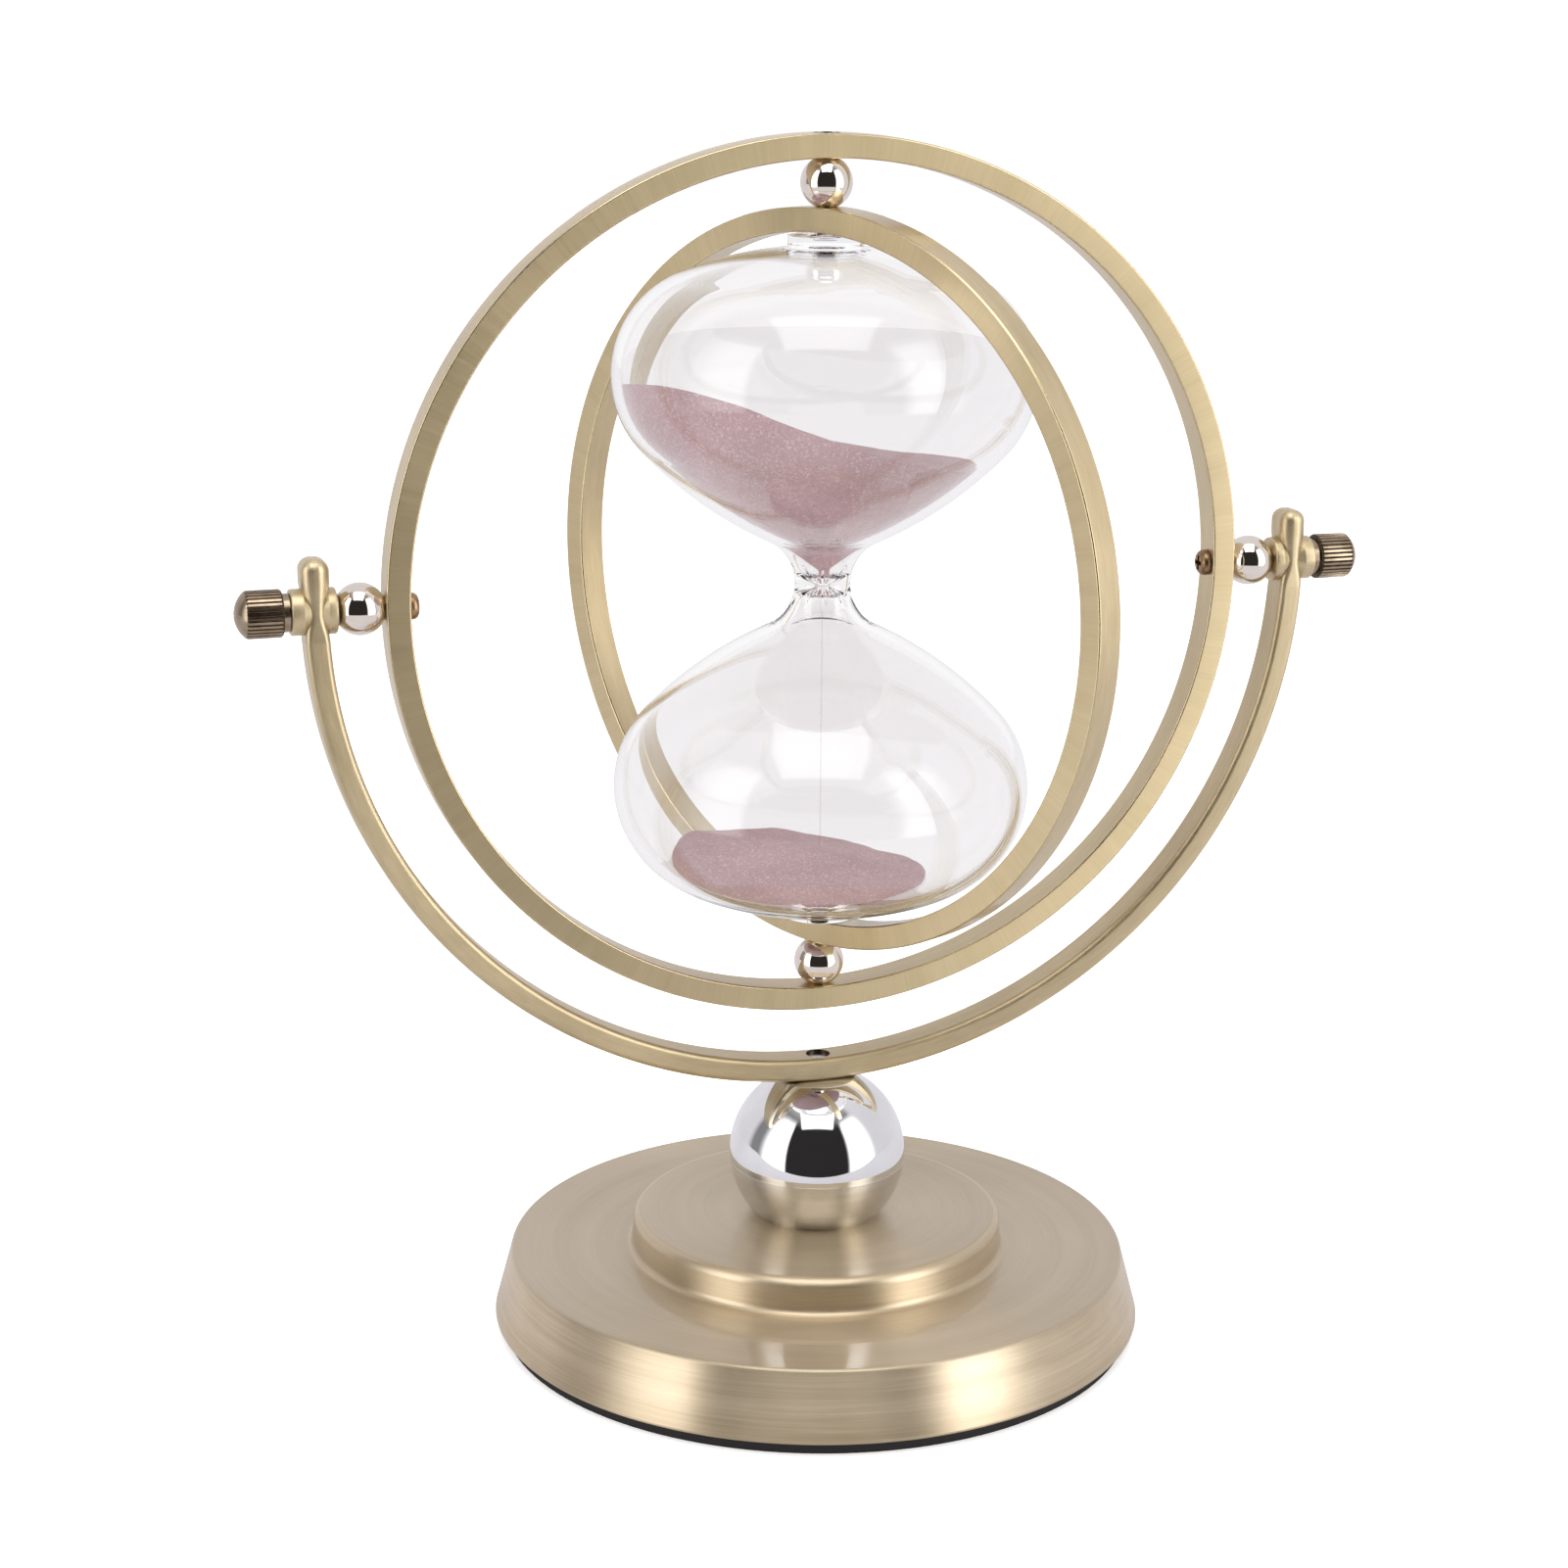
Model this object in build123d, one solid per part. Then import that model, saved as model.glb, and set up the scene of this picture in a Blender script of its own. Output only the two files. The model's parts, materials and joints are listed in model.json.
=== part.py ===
"""Hourglass carried in two turning rings on a weighted stand. Millimetres, +Z up.

The origin is on the table, under the middle of the base. X is the pivot axis of the outer ring.
The inner ring and the glass stand at the swivel in which the object is shown.
"""
import os
from math import acos, asin, atan2, cos, degrees, hypot, sin, sqrt

from build123d import *

# Glass: two bulbs, each a chain of tangent arcs from the neck to a flat pole
NECK_R = 4.6
NECK_FLARE_R = 8.0
BULB_R = 34.4
BULB_Z = 34.0
SIDE_R = 17.5
SHOULDER_R = 68.0
CROWN_R = 62.0
POLE_FLAT_R = 7.0
GLASS_WALL = 1.5
ORIFICE_R = 0.8
ORIFICE_FLARE_R = 9.0

# Clear pads between glass and inner ring, with plugs in the glass's end holes
GLASS_PAD_R = 6.2
GLASS_PAD_T = 2.45
PLUG_R = 2.8
PLUG_TIP_R = 1.7
PLUG_LENGTH = 3.2
TIP_RECESS_GAP = 0.3

# Sand
SAND_GAP = 0.1
SAND_LEVEL = 25.0
SAND_SLOPE = 15.5
SAND_HEADING = 20.0
SAND_TIP_Z = 0.4
HEAP_TOP_Z = -44.7
HEAP_CROWN_R = 45.0
HEAP_OFFSET = 10.0
HEAP_HEADING = 162.0
STREAM_R = 0.35

# Rings
RING_EDGE = 0.3
INNER_RING_T = 4.0
INNER_RING_W = 5.0
OUTER_RING_T = 3.9
OUTER_RING_W = 5.8
SWIVEL_REST = -62.4

# Spacer balls: axis balls between the rings, pivot balls between ring and yoke
SPACER_BALL_R = 4.2
AXIS_BALL_H = 7.7
PIVOT_BALL_H = 7.6

# Small screws
SCREW_R = 1.5
PAN_HEAD_R = 2.15
PAN_HEAD_H = 1.5
PAN_HEAD_ROUND = 1.0
PAN_SCREW_LENGTH = 7.0
FLUSH_HEAD_R = 2.2
FLUSH_HEAD_SINK = 0.1
AXIS_SCREW_PROUD = 0.9
RECESS_W = 0.7
RECESS_SPAN = 2.4
RECESS_DEPTH = 0.8

# Thumb screws
COLLAR_R = 3.05
COLLAR_L = 1.1
GRIP_R = 3.8
GRIP_L = 5.7
DOME_H = 1.8
FLUTE_R = 0.22
FLUTE_COUNT = 32
THUMB_SCREW_REACH = 2.9

# Yoke: a strap whose lugs swell from a waist at the pivot to a rounded head
YOKE_T = 3.9
YOKE_W = 6.1
YOKE_EDGE = 1.4
LUG_T = 4.6
LUG_W = 6.4
LUG_WAIST_T = 3.0
LUG_WAIST_W = 6.2
LUG_HEAD_Z = 5.2
LUG_TOP = 8.5
LUG_FOOT = 5.5
LUG_SUNK = 1.0
LUG_FOOT_INSET = 0.05
LUG_ROUND = 1.9
LUG_WAIST_EDGE = 1.3
LUG_HEAD_EDGE = 2.1
BOSS_R = 3.7
BOSS_WAIST_R = 2.4
BOSS_INNER_L = 1.4
BOSS_OUTER_L = 2.0

# Stem ball, in two pieces, with flats at its foot and under the yoke
STEM_BALL_R = 15.0
STEM_FOOT_R = 10.8
STEM_SEAT_R = 6.3
SEAM_DROP = 1.1

# Base
PAD_INSET = 1.6
PAD_T = 2.0
RIM_R = 55.5
RIM_H = 11.6
RIM_FLARE = 3.1
RIM_EDGE = 0.7
RIM_LIP = 0.5
DISC_R = 31.4
DISC_H = 6.0
DISC_RUN = 0.4
DISC_EDGE = 1.7
DISC_FOOT = 1.2
SHELL_T = 1.2
INSIDE_EDGE = 0.3
WEIGHT_GAP = 1.0

# Tie bolt from the base to the yoke
BOLT_R = 2.0
BOLT_HEAD_ACROSS = 7.0
BOLT_HEAD_H = 2.8
BOLT_HEAD_LIFT = 0.8
BOLT_END_SINK = 0.6
WASHER_R = 4.5
WASHER_T = 0.8
POCKET_GAP = 0.8

# Clearances
RUNNING_GAP = 0.05
FACE_GAP = 0.05
CUT_OVER = 1.0

# Heights and radii that follow from the sizes above, from the glass outwards
crown_angle = acos((BULB_R - SIDE_R) / (CROWN_R - SIDE_R))
crown_z = BULB_Z - (CROWN_R - SIDE_R) * sin(crown_angle)
pole_z = crown_z + sqrt(CROWN_R**2 - POLE_FLAT_R**2)
inner_ring_in = pole_z + GLASS_PAD_T
inner_ring_out = inner_ring_in + INNER_RING_T
outer_ring_in = inner_ring_out + AXIS_BALL_H
outer_ring_out = outer_ring_in + OUTER_RING_T
boss_in = outer_ring_out + PIVOT_BALL_H
yoke_in = boss_in + BOSS_INNER_L
yoke_out = yoke_in + YOKE_T
boss_out = yoke_out + BOSS_OUTER_L

# Heights of the stand, from the table up
washer_top = PAD_T + BOLT_HEAD_LIFT + BOLT_HEAD_H + WASHER_T
rim_top = PAD_T + RIM_H
disc_top = rim_top + DISC_H
stem_z = disc_top + sqrt(STEM_BALL_R**2 - STEM_FOOT_R**2)
yoke_seat_z = stem_z + sqrt(STEM_BALL_R**2 - STEM_SEAT_R**2)
pivot_z = yoke_seat_z + yoke_out

screw_bore_r = SCREW_R + RUNNING_GAP
bolt_bore_r = BOLT_R + RUNNING_GAP
STANDING = (Align.CENTER, Align.CENTER, Align.MIN)
HANGING = (Align.CENTER, Align.CENTER, Align.MAX)


def turned(outline):
    """The solid turned about Z from an outline of radius and height."""
    return revolve(Plane.XZ * make_face(outline), Axis.Z)


def rod(radius, low, high):
    """A round bar about Z between two heights."""
    return Pos(0, 0, low) * Cylinder(radius, high - low, align=STANDING)


def arc_about(centre, start, end):
    """The short arc about a centre from one point to another."""
    radius = hypot(start[0] - centre[0], start[1] - centre[1])
    start_angle = atan2(start[1] - centre[1], start[0] - centre[0])
    end_angle = atan2(end[1] - centre[1], end[0] - centre[0])
    middle = (start_angle + end_angle) / 2
    through = (centre[0] + radius * cos(middle), centre[1] + radius * sin(middle))
    return ThreePointArc(start, through, end)


def on_ray(origin, target, distance):
    """The point at a distance from origin on the ray through target."""
    share = distance / hypot(target[0] - origin[0], target[1] - origin[1])
    return (origin[0] + (target[0] - origin[0]) * share, origin[1] + (target[1] - origin[1]) * share)


def shoulder_centre(neck, side, neck_reach, side_reach):
    """The point at given distances from the centres of the neck arc and the side arc."""
    apart = hypot(neck[0] - side[0], neck[1] - side[1])
    along = (side_reach**2 - neck_reach**2 + apart**2) / (2 * apart)
    across = sqrt(side_reach**2 - along**2)
    unit = ((neck[0] - side[0]) / apart, (neck[1] - side[1]) / apart)
    return (
        side[0] + along * unit[0] + across * unit[1],
        side[1] + along * unit[1] - across * unit[0],
    )


def bulbs(neck_r, flare_r, inset):
    """The turned body of both bulbs, with its wall set in from the outside of the glass."""
    neck = (neck_r + flare_r, 0)
    side = (BULB_R - SIDE_R, BULB_Z)
    side_r = SIDE_R - inset
    shoulder_r = SHOULDER_R - inset
    flat_z = pole_z - inset
    shoulder = shoulder_centre(neck, side, shoulder_r + flare_r, shoulder_r - side_r)
    flare_end = on_ray(neck, shoulder, flare_r)
    shoulder_end = on_ray(shoulder, side, shoulder_r)
    side_end = (side[0] + side_r * cos(crown_angle), side[1] + side_r * sin(crown_angle))
    flat_edge = (sqrt((CROWN_R - inset) ** 2 - (flat_z - crown_z) ** 2), flat_z)
    upper = Curve() + [
        arc_about(neck, (neck_r, 0), flare_end),
        arc_about(shoulder, flare_end, shoulder_end),
        arc_about(side, shoulder_end, side_end),
        arc_about((0, crown_z), side_end, flat_edge),
        Line(flat_edge, (0, flat_z)),
    ]
    axis = Line((0, flat_z), (0, -flat_z))
    return turned(upper + mirror(upper, Plane.XZ) + axis)


def plug(gap, above):
    """The tapered plug at the upper pole, widened by gap and carried on above the pole."""
    taper = (PLUG_R - PLUG_TIP_R) / PLUG_LENGTH
    tip = Pos(0, 0, pole_z - PLUG_LENGTH)
    return tip * Cone(
        PLUG_TIP_R + gap, PLUG_R + gap + taper * above, PLUG_LENGTH + above, align=STANDING
    )


def glass():
    """The blown glass, with a tapered hole through each pole."""
    body = bulbs(NECK_R, NECK_FLARE_R, 0)
    body -= bulbs(ORIFICE_R, ORIFICE_FLARE_R, GLASS_WALL)
    hole = plug(RUNNING_GAP, CUT_OVER)
    return body - hole - Rot(180, 0, 0) * hole


def glass_pad():
    """The upper clear pad: bedded on the ring above, with its plug and a recess for the screw."""
    bed = Rot(90, 0, 0) * Cylinder(inner_ring_in - FACE_GAP, 2 * GLASS_PAD_R + CUT_OVER)
    disc = rod(GLASS_PAD_R, pole_z, inner_ring_in) & bed
    recess_floor = inner_ring_in - AXIS_SCREW_PROUD - TIP_RECESS_GAP
    recess = rod(SCREW_R + TIP_RECESS_GAP, recess_floor, inner_ring_in)
    return disc + plug(0, 0) - recess


def sand():
    """The sand in the upper bulb, the heap in the lower bulb and the thread that falls between."""
    fill = bulbs(ORIFICE_R - SAND_GAP, ORIFICE_FLARE_R + SAND_GAP, GLASS_WALL + SAND_GAP)
    reach = 4 * BULB_Z
    surface = Pos(0, 0, SAND_LEVEL) * Rot(0, 0, SAND_HEADING) * Rot(0, SAND_SLOPE, 0)
    below_surface = surface * Box(reach, reach, reach, align=HANGING)
    above_tip = Pos(0, 0, SAND_TIP_Z) * Box(reach, reach, reach, align=STANDING)
    upper = fill & below_surface & above_tip
    crown = Pos(HEAP_OFFSET, 0, HEAP_TOP_Z - HEAP_CROWN_R) * Sphere(HEAP_CROWN_R)
    crown = Rot(0, 0, HEAP_HEADING) * crown
    lower = (fill & crown) - Rot(180, 0, 0) * plug(SAND_GAP, CUT_OVER)
    stream = rod(STREAM_R, HEAP_TOP_Z - HEAP_CROWN_R, SAND_TIP_Z) - crown
    return upper, lower, stream


def hoop(inner_r, thickness, width):
    """A flat hoop about Y, with its edges broken."""
    section = chamfer(Rectangle(thickness, width).vertices(), RING_EDGE)
    return revolve(Pos(inner_r + thickness / 2, 0) * section, Axis.Y)


def both_poles(piece):
    """A piece at the upper pole, and the same piece turned over to the lower one."""
    return piece, Rot(0, 180, 0) * piece


def both_ends(piece):
    """A piece at the right-hand pivot, and the same piece turned about Z to the left-hand one."""
    return piece, Rot(0, 0, 180) * piece


def inner_ring():
    """The inner hoop, bored for the axis screws."""
    bore = rod(screw_bore_r, inner_ring_in - CUT_OVER, inner_ring_out + CUT_OVER)
    ring = hoop(inner_ring_in, INNER_RING_T, INNER_RING_W)
    for end in both_poles(bore):
        ring -= end
    return ring


def flush_screw(gap):
    """The upper axis screw without its recess, widened by gap to cut its seat in the ring."""
    top = outer_ring_out - FLUSH_HEAD_SINK
    neck = top - (FLUSH_HEAD_R - SCREW_R)
    tip = inner_ring_in - AXIS_SCREW_PROUD
    profile = Polyline(
        (0, tip),
        (SCREW_R + gap, tip),
        (SCREW_R + gap, neck),
        (FLUSH_HEAD_R + gap, top),
        (0, top),
        close=True,
    )
    return turned(profile)


def cross_recess(top):
    """The crossed driver slots in a screw head whose top is at a height."""
    slot = Box(RECESS_SPAN, RECESS_W, RECESS_DEPTH, align=HANGING)
    return Pos(0, 0, top) * (slot + Rot(0, 0, 90) * slot)


def axis_screw():
    """The upper axis screw, flush in the outer ring, with its tip inside the inner ring."""
    return flush_screw(0) - cross_recess(outer_ring_out - FLUSH_HEAD_SINK)


def pan_screw():
    """The right-hand pivot screw, its head inside the outer ring."""
    head = Cylinder(PAN_HEAD_R, PAN_HEAD_H, align=STANDING)
    head = fillet(head.edges().sort_by(Axis.Z)[-1], PAN_HEAD_ROUND)
    head -= cross_recess(PAN_HEAD_H)
    screw = head + rod(SCREW_R, -PAN_SCREW_LENGTH, 0)
    seat = sqrt(outer_ring_in**2 - PAN_HEAD_R**2) - FACE_GAP
    return Pos(seat, 0, 0) * Rot(0, -90, 0) * screw


def outer_ring():
    """The outer hoop, bored for the pivot screws and countersunk for the axis screws."""
    ring = hoop(outer_ring_in, OUTER_RING_T, OUTER_RING_W)
    pivot_bore = Rot(0, 90, 0) * rod(screw_bore_r, outer_ring_in - CUT_OVER, outer_ring_out + CUT_OVER)
    seat = flush_screw(RUNNING_GAP)
    mouth_r = FLUSH_HEAD_R + RUNNING_GAP
    mouth = rod(mouth_r, outer_ring_out - FLUSH_HEAD_SINK, outer_ring_out + CUT_OVER)
    for cut in (*both_ends(pivot_bore), *both_poles(seat), *both_poles(mouth)):
        ring -= cut
    return ring


def ball_slice(radius, low, high, bore_r):
    """A ball about the origin, cut flat at two heights and bored along Z."""
    low_r = sqrt(radius**2 - low**2)
    high_r = sqrt(radius**2 - high**2)
    middle = (asin(low / radius) + asin(high / radius)) / 2
    skin = ThreePointArc((low_r, low), (radius * cos(middle), radius * sin(middle)), (high_r, high))
    return turned(skin + Polyline((high_r, high), (bore_r, high), (bore_r, low), (low_r, low)))


def spacer_ball(inner_face, outer_face):
    """A spacer ball on Z, between two faces with a gap at each."""
    half = (outer_face - inner_face) / 2 - FACE_GAP
    ball = ball_slice(SPACER_BALL_R, -half, half, screw_bore_r)
    return Pos(0, 0, (inner_face + outer_face) / 2) * ball


def thumb_screw():
    """The right-hand thumb screw: shank, collar, fluted grip and domed end."""
    grip_low = COLLAR_L
    grip_high = grip_low + GRIP_L
    shank_end = boss_in - boss_out - THUMB_SCREW_REACH
    dome_r = (GRIP_R**2 + DOME_H**2) / (2 * DOME_H)
    dome_centre = (0, grip_high + DOME_H - dome_r)
    dome = arc_about(dome_centre, (GRIP_R, grip_high), (0, grip_high + DOME_H))
    side = Polyline(
        (0, grip_high + DOME_H),
        (0, shank_end),
        (SCREW_R, shank_end),
        (SCREW_R, 0),
        (COLLAR_R, 0),
        (COLLAR_R, grip_low),
        (GRIP_R, grip_low),
        (GRIP_R, grip_high),
    )
    flute = Pos(GRIP_R, 0, 0) * rod(FLUTE_R, grip_low, grip_high)
    flutes = [Rot(0, 0, 360 * turn / FLUTE_COUNT) * flute for turn in range(FLUTE_COUNT)]
    screw = turned(dome + side) - flutes
    return Pos(boss_out + FACE_GAP, 0, 0) * Rot(0, 90, 0) * screw


def boss(face, arm_face):
    """A pivot boss about X that narrows into the middle of the yoke's arm."""
    arm_middle = (yoke_in + yoke_out) / 2
    profile = Polyline(
        (0, arm_middle),
        (BOSS_WAIST_R, arm_middle),
        (BOSS_R, arm_face),
        (BOSS_R, face),
        (0, face),
        close=True,
    )
    return Rot(0, 90, 0) * turned(profile)


def lug_section(height, thickness, width, edge):
    """A section of the right-hand lug at a height from the pivot, with its corners rounded."""
    arm_middle = (yoke_in + yoke_out) / 2
    return Pos(arm_middle, 0, height) * RectangleRounded(thickness, width, edge)


def lug():
    """The right-hand lug, from inside the strap through its waist to the rounded head."""
    foot_t = YOKE_T - 2 * LUG_FOOT_INSET
    foot_w = YOKE_W - 2 * LUG_FOOT_INSET
    sections = [
        lug_section(-LUG_FOOT, foot_t, foot_w, YOKE_EDGE),
        lug_section(0, LUG_WAIST_T, LUG_WAIST_W, LUG_WAIST_EDGE),
        lug_section(LUG_HEAD_Z, LUG_T, LUG_W, LUG_HEAD_EDGE),
        lug_section(LUG_TOP, LUG_T, LUG_W, LUG_HEAD_EDGE),
    ]
    body = loft(sections)
    return fillet(body.edges().group_by(Axis.Z)[-1], LUG_ROUND)


def yoke():
    """The half-round strap with its lugs and bosses, bored for the thumb screws and the tie bolt."""
    arm_middle = (yoke_in + yoke_out) / 2
    section = fillet(Rectangle(YOKE_T, YOKE_W).vertices(), YOKE_EDGE)
    end_angle = degrees(asin((LUG_FOOT - LUG_SUNK) / arm_middle))
    strap = revolve(Pos(arm_middle, 0) * section, Axis.Y, 180 - 2 * end_angle)
    strap = Rot(0, end_angle, 0) * strap
    end = lug() + boss(boss_in, yoke_in) + boss(boss_out, yoke_out)
    bore = Rot(0, 90, 0) * rod(screw_bore_r, boss_in - CUT_OVER, boss_out + CUT_OVER)
    body = strap
    for piece in both_ends(end):
        body += piece
    for cut in both_ends(bore):
        body -= cut
    return body - rod(bolt_bore_r, -yoke_out - CUT_OVER, -yoke_in + CUT_OVER)


def step_x(height, inset):
    """Radius of the disc's sloping side at a height, set in square to the slope."""
    slope = hypot(DISC_RUN, DISC_H) / DISC_H
    return DISC_R + DISC_RUN * (disc_top - height) / DISC_H - inset * slope


def rim_x(height, inset):
    """Radius of the flared rim at a height, set in square to the slope."""
    slope = hypot(RIM_FLARE, RIM_H) / RIM_H
    return RIM_R - RIM_FLARE * (height - PAD_T) / RIM_H - inset * slope


def base_form(inset, floor, lip):
    """The turned form of the base, set in by a wall and carried down to a floor."""
    top = disc_top - inset
    ledge = rim_top - inset
    disc_edge = max(DISC_EDGE - inset, INSIDE_EDGE)
    rim_edge = max(RIM_EDGE - inset, INSIDE_EDGE)
    skin = FilletPolyline(
        (0, top),
        (step_x(top, inset), top),
        (step_x(ledge, inset), ledge),
        (rim_x(ledge, inset), ledge),
        (rim_x(floor, inset), floor),
        (0, floor),
        radius=[disc_edge, DISC_FOOT + inset, rim_edge, lip],
    )
    return turned(skin + Line((0, floor), (0, top)))


def base_shell():
    """The pressed cover: flared rim, flat ledge and raised disc, open below."""
    shell = base_form(0, PAD_T, RIM_LIP) - base_form(SHELL_T, PAD_T - CUT_OVER, RIM_LIP)
    return shell - rod(bolt_bore_r, disc_top - SHELL_T - CUT_OVER, disc_top + CUT_OVER)


def base_weight():
    """The ballast: it fills the cover, bears under the disc and holds the bolt's head."""
    ledge = rim_top - SHELL_T - WEIGHT_GAP
    under_disc = disc_top - SHELL_T
    rim_r = rim_x(ledge, SHELL_T) - WEIGHT_GAP
    boss_r = DISC_R - DISC_EDGE - WEIGHT_GAP
    profile = Polyline(
        (bolt_bore_r, PAD_T),
        (rim_r, PAD_T),
        (rim_r, ledge),
        (boss_r, ledge),
        (boss_r, under_disc),
        (bolt_bore_r, under_disc),
        close=True,
    )
    return turned(profile) - rod(WASHER_R + POCKET_GAP, PAD_T - CUT_OVER, washer_top)


def tie_bolt():
    """The long bolt: hex head in the ballast, end sunk in the yoke's hole."""
    head_low = PAD_T + BOLT_HEAD_LIFT
    hexagon = RegularPolygon(BOLT_HEAD_ACROSS / 2, 6, major_radius=False)
    head = Pos(0, 0, head_low) * extrude(hexagon, BOLT_HEAD_H)
    end = yoke_seat_z + YOKE_T - BOLT_END_SINK
    return head + rod(BOLT_R, head_low + BOLT_HEAD_H, end)


def tie_washer():
    """The flat washer between the bolt's head and the ballast."""
    low = washer_top - WASHER_T
    return rod(WASHER_R, low, washer_top) - rod(bolt_bore_r, low - CUT_OVER, washer_top + CUT_OVER)


seam = -SEAM_DROP
at_stem = Pos(0, 0, stem_z)
at_pivot = Pos(0, 0, pivot_z)
at_swivel = at_pivot * Rot(0, 0, SWIVEL_REST)

axis_balls = both_poles(spacer_ball(inner_ring_out, outer_ring_in))
pivot_balls = both_ends(Rot(0, 90, 0) * spacer_ball(outer_ring_out, boss_in))
thumb_screws = both_ends(thumb_screw())
glass_pads = both_poles(glass_pad())
sand_upper, sand_lower, sand_stream = sand()

nodes = {
    "base_pad": rod(RIM_R - PAD_INSET, 0, PAD_T),
    "base_weight": base_weight(),
    "base_shell": base_shell(),
    "tie_bolt": tie_bolt(),
    "tie_washer": tie_washer(),
    "stem_cup": at_stem * ball_slice(STEM_BALL_R, disc_top - stem_z, seam, bolt_bore_r),
    "stem_ball": at_stem * ball_slice(STEM_BALL_R, seam, yoke_seat_z - stem_z, bolt_bore_r),
    "yoke": at_pivot * yoke(),
    "thumb_screw_right": at_pivot * thumb_screws[0],
    "thumb_screw_left": at_pivot * thumb_screws[1],
    "outer_ring": at_pivot * outer_ring(),
    "pivot_ball_right": at_pivot * pivot_balls[0],
    "pivot_ball_left": at_pivot * pivot_balls[1],
    "pivot_screws": at_pivot * Compound(children=list(both_ends(pan_screw()))),
    "axis_ball_top": at_pivot * axis_balls[0],
    "axis_ball_bottom": at_pivot * axis_balls[1],
    "axis_screws": at_pivot * Compound(children=list(both_poles(axis_screw()))),
    "inner_ring": at_swivel * inner_ring(),
    "glass_pad_top": at_swivel * glass_pads[0],
    "glass_pad_bottom": at_swivel * glass_pads[1],
    "glass": at_pivot * glass(),
    "sand_upper": at_pivot * sand_upper,
    "sand_lower": at_pivot * sand_lower,
    "sand_stream": at_pivot * sand_stream,
}

os.makedirs("parts", exist_ok=True)
for name, shape in nodes.items():
    export_step(shape, f"parts/{name}.step")
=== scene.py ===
"""Looks for the ring-mounted hourglass: fine meshes over the solids, materials, studio light and camera."""
import json
from functools import partialmethod
from itertools import accumulate
from math import acos, asin, atan2, cos, degrees, exp, hypot, pi, radians, sin, sqrt, tan, tanh

import bmesh
import bpy
from mathutils import Matrix, Vector, noise

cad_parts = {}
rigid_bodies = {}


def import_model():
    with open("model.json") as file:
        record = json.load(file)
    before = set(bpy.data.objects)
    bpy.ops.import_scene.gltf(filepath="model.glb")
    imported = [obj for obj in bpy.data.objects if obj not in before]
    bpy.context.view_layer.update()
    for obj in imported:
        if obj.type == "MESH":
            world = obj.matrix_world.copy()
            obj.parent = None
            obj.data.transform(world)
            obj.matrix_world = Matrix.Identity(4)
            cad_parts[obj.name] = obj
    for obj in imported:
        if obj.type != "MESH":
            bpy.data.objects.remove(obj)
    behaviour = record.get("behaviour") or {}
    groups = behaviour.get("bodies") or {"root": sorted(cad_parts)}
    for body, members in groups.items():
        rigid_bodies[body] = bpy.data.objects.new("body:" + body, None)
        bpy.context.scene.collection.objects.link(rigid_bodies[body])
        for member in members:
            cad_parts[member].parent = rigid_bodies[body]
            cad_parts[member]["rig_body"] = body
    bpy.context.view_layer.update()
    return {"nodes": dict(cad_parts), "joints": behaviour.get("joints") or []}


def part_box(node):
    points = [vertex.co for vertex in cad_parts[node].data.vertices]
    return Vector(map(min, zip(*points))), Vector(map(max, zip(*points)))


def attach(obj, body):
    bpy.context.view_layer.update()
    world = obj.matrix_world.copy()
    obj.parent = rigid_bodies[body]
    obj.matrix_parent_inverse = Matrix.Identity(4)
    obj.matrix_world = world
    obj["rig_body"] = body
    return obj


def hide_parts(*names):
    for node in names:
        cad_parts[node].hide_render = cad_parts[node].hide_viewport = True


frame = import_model()

MM = 0.001
SEGMENTS = 256
HOOP_SEGMENTS = 384
CUTTER_SEGMENTS = 48

# Turns about the pivot, in degrees, that put a piece on one side and its twin on the other
OPPOSITE = (0, 180)

# Sizes in millimetres
FACE_GAP = 0.05
CUT_OVER = 1.0
RING_EDGE = 0.3
INNER_RING_T = 4.0
INNER_RING_W = 5.0
OUTER_RING_T = 3.9
YOKE_T = 3.9
YOKE_W = 6.1
YOKE_EDGE = 0.9
LUG_T = 4.6
LUG_W = 6.4
LUG_WAIST_T = 3.0
LUG_WAIST_W = 6.2
LUG_HEAD_Z = 5.2
LUG_TOP = 8.5
LUG_FOOT = 5.5
LUG_SUNK = 1.0
LUG_FOOT_INSET = 0.02
LUG_ROUND = 1.9
LUG_WAIST_EDGE = 1.3
LUG_HEAD_EDGE = 2.1
BOSS_R = 3.7
BOSS_WAIST_R = 2.4
BOSS_INNER_L = 1.4
BOSS_OUTER_L = 2.0
BOSS_EDGE = 0.35
BOSS_FOOT_EDGE = 0.1
BOSS_ROOT_EDGE = 0.01
SPACER_BALL_R = 4.2
SPACER_BALL_EDGE = 0.05
SCREW_R = 1.5
BORE_R = 1.55
PAN_HEAD_R = 2.15
PAN_HEAD_H = 1.5
PAN_HEAD_EDGE = 0.15
PAN_HEAD_ROUND = 1.0
PAN_SCREW_LENGTH = 7.0
RECESS_W = 0.7
RECESS_SPAN = 2.4
RECESS_DEPTH = 0.8
FLUSH_HEAD_R = 2.2
FLUSH_HEAD_SINK = 0.1
AXIS_SCREW_PROUD = 0.9
AXIS_SCREW_TIP = 0.2
TIP_RECESS_GAP = 0.3
COLLAR_R = 3.05
COLLAR_L = 1.1
COLLAR_EDGE = 0.1
GRIP_R = 3.8
GRIP_L = 5.7
GRIP_EDGE = 0.3
DOME_H = 1.8
DOME_LIFT = 0.1
DIMPLE_R = 0.5
DIMPLE_DEPTH = 0.3
DIMPLE_LIP = 0.03
THUMB_SCREW_REACH = 2.9
FLUTE_DEPTH = 0.26
FLUTE_SHARE = 0.5
FLUTE_COUNT = 32
GROOVE_SHARE = 0.35
STEM_BALL_R = 15.0
STEM_SEAT_R = 6.3
SEAM_EDGE = 0.03
RIM_R = 55.5
RIM_H = 11.6
RIM_FLARE = 3.1
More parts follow.
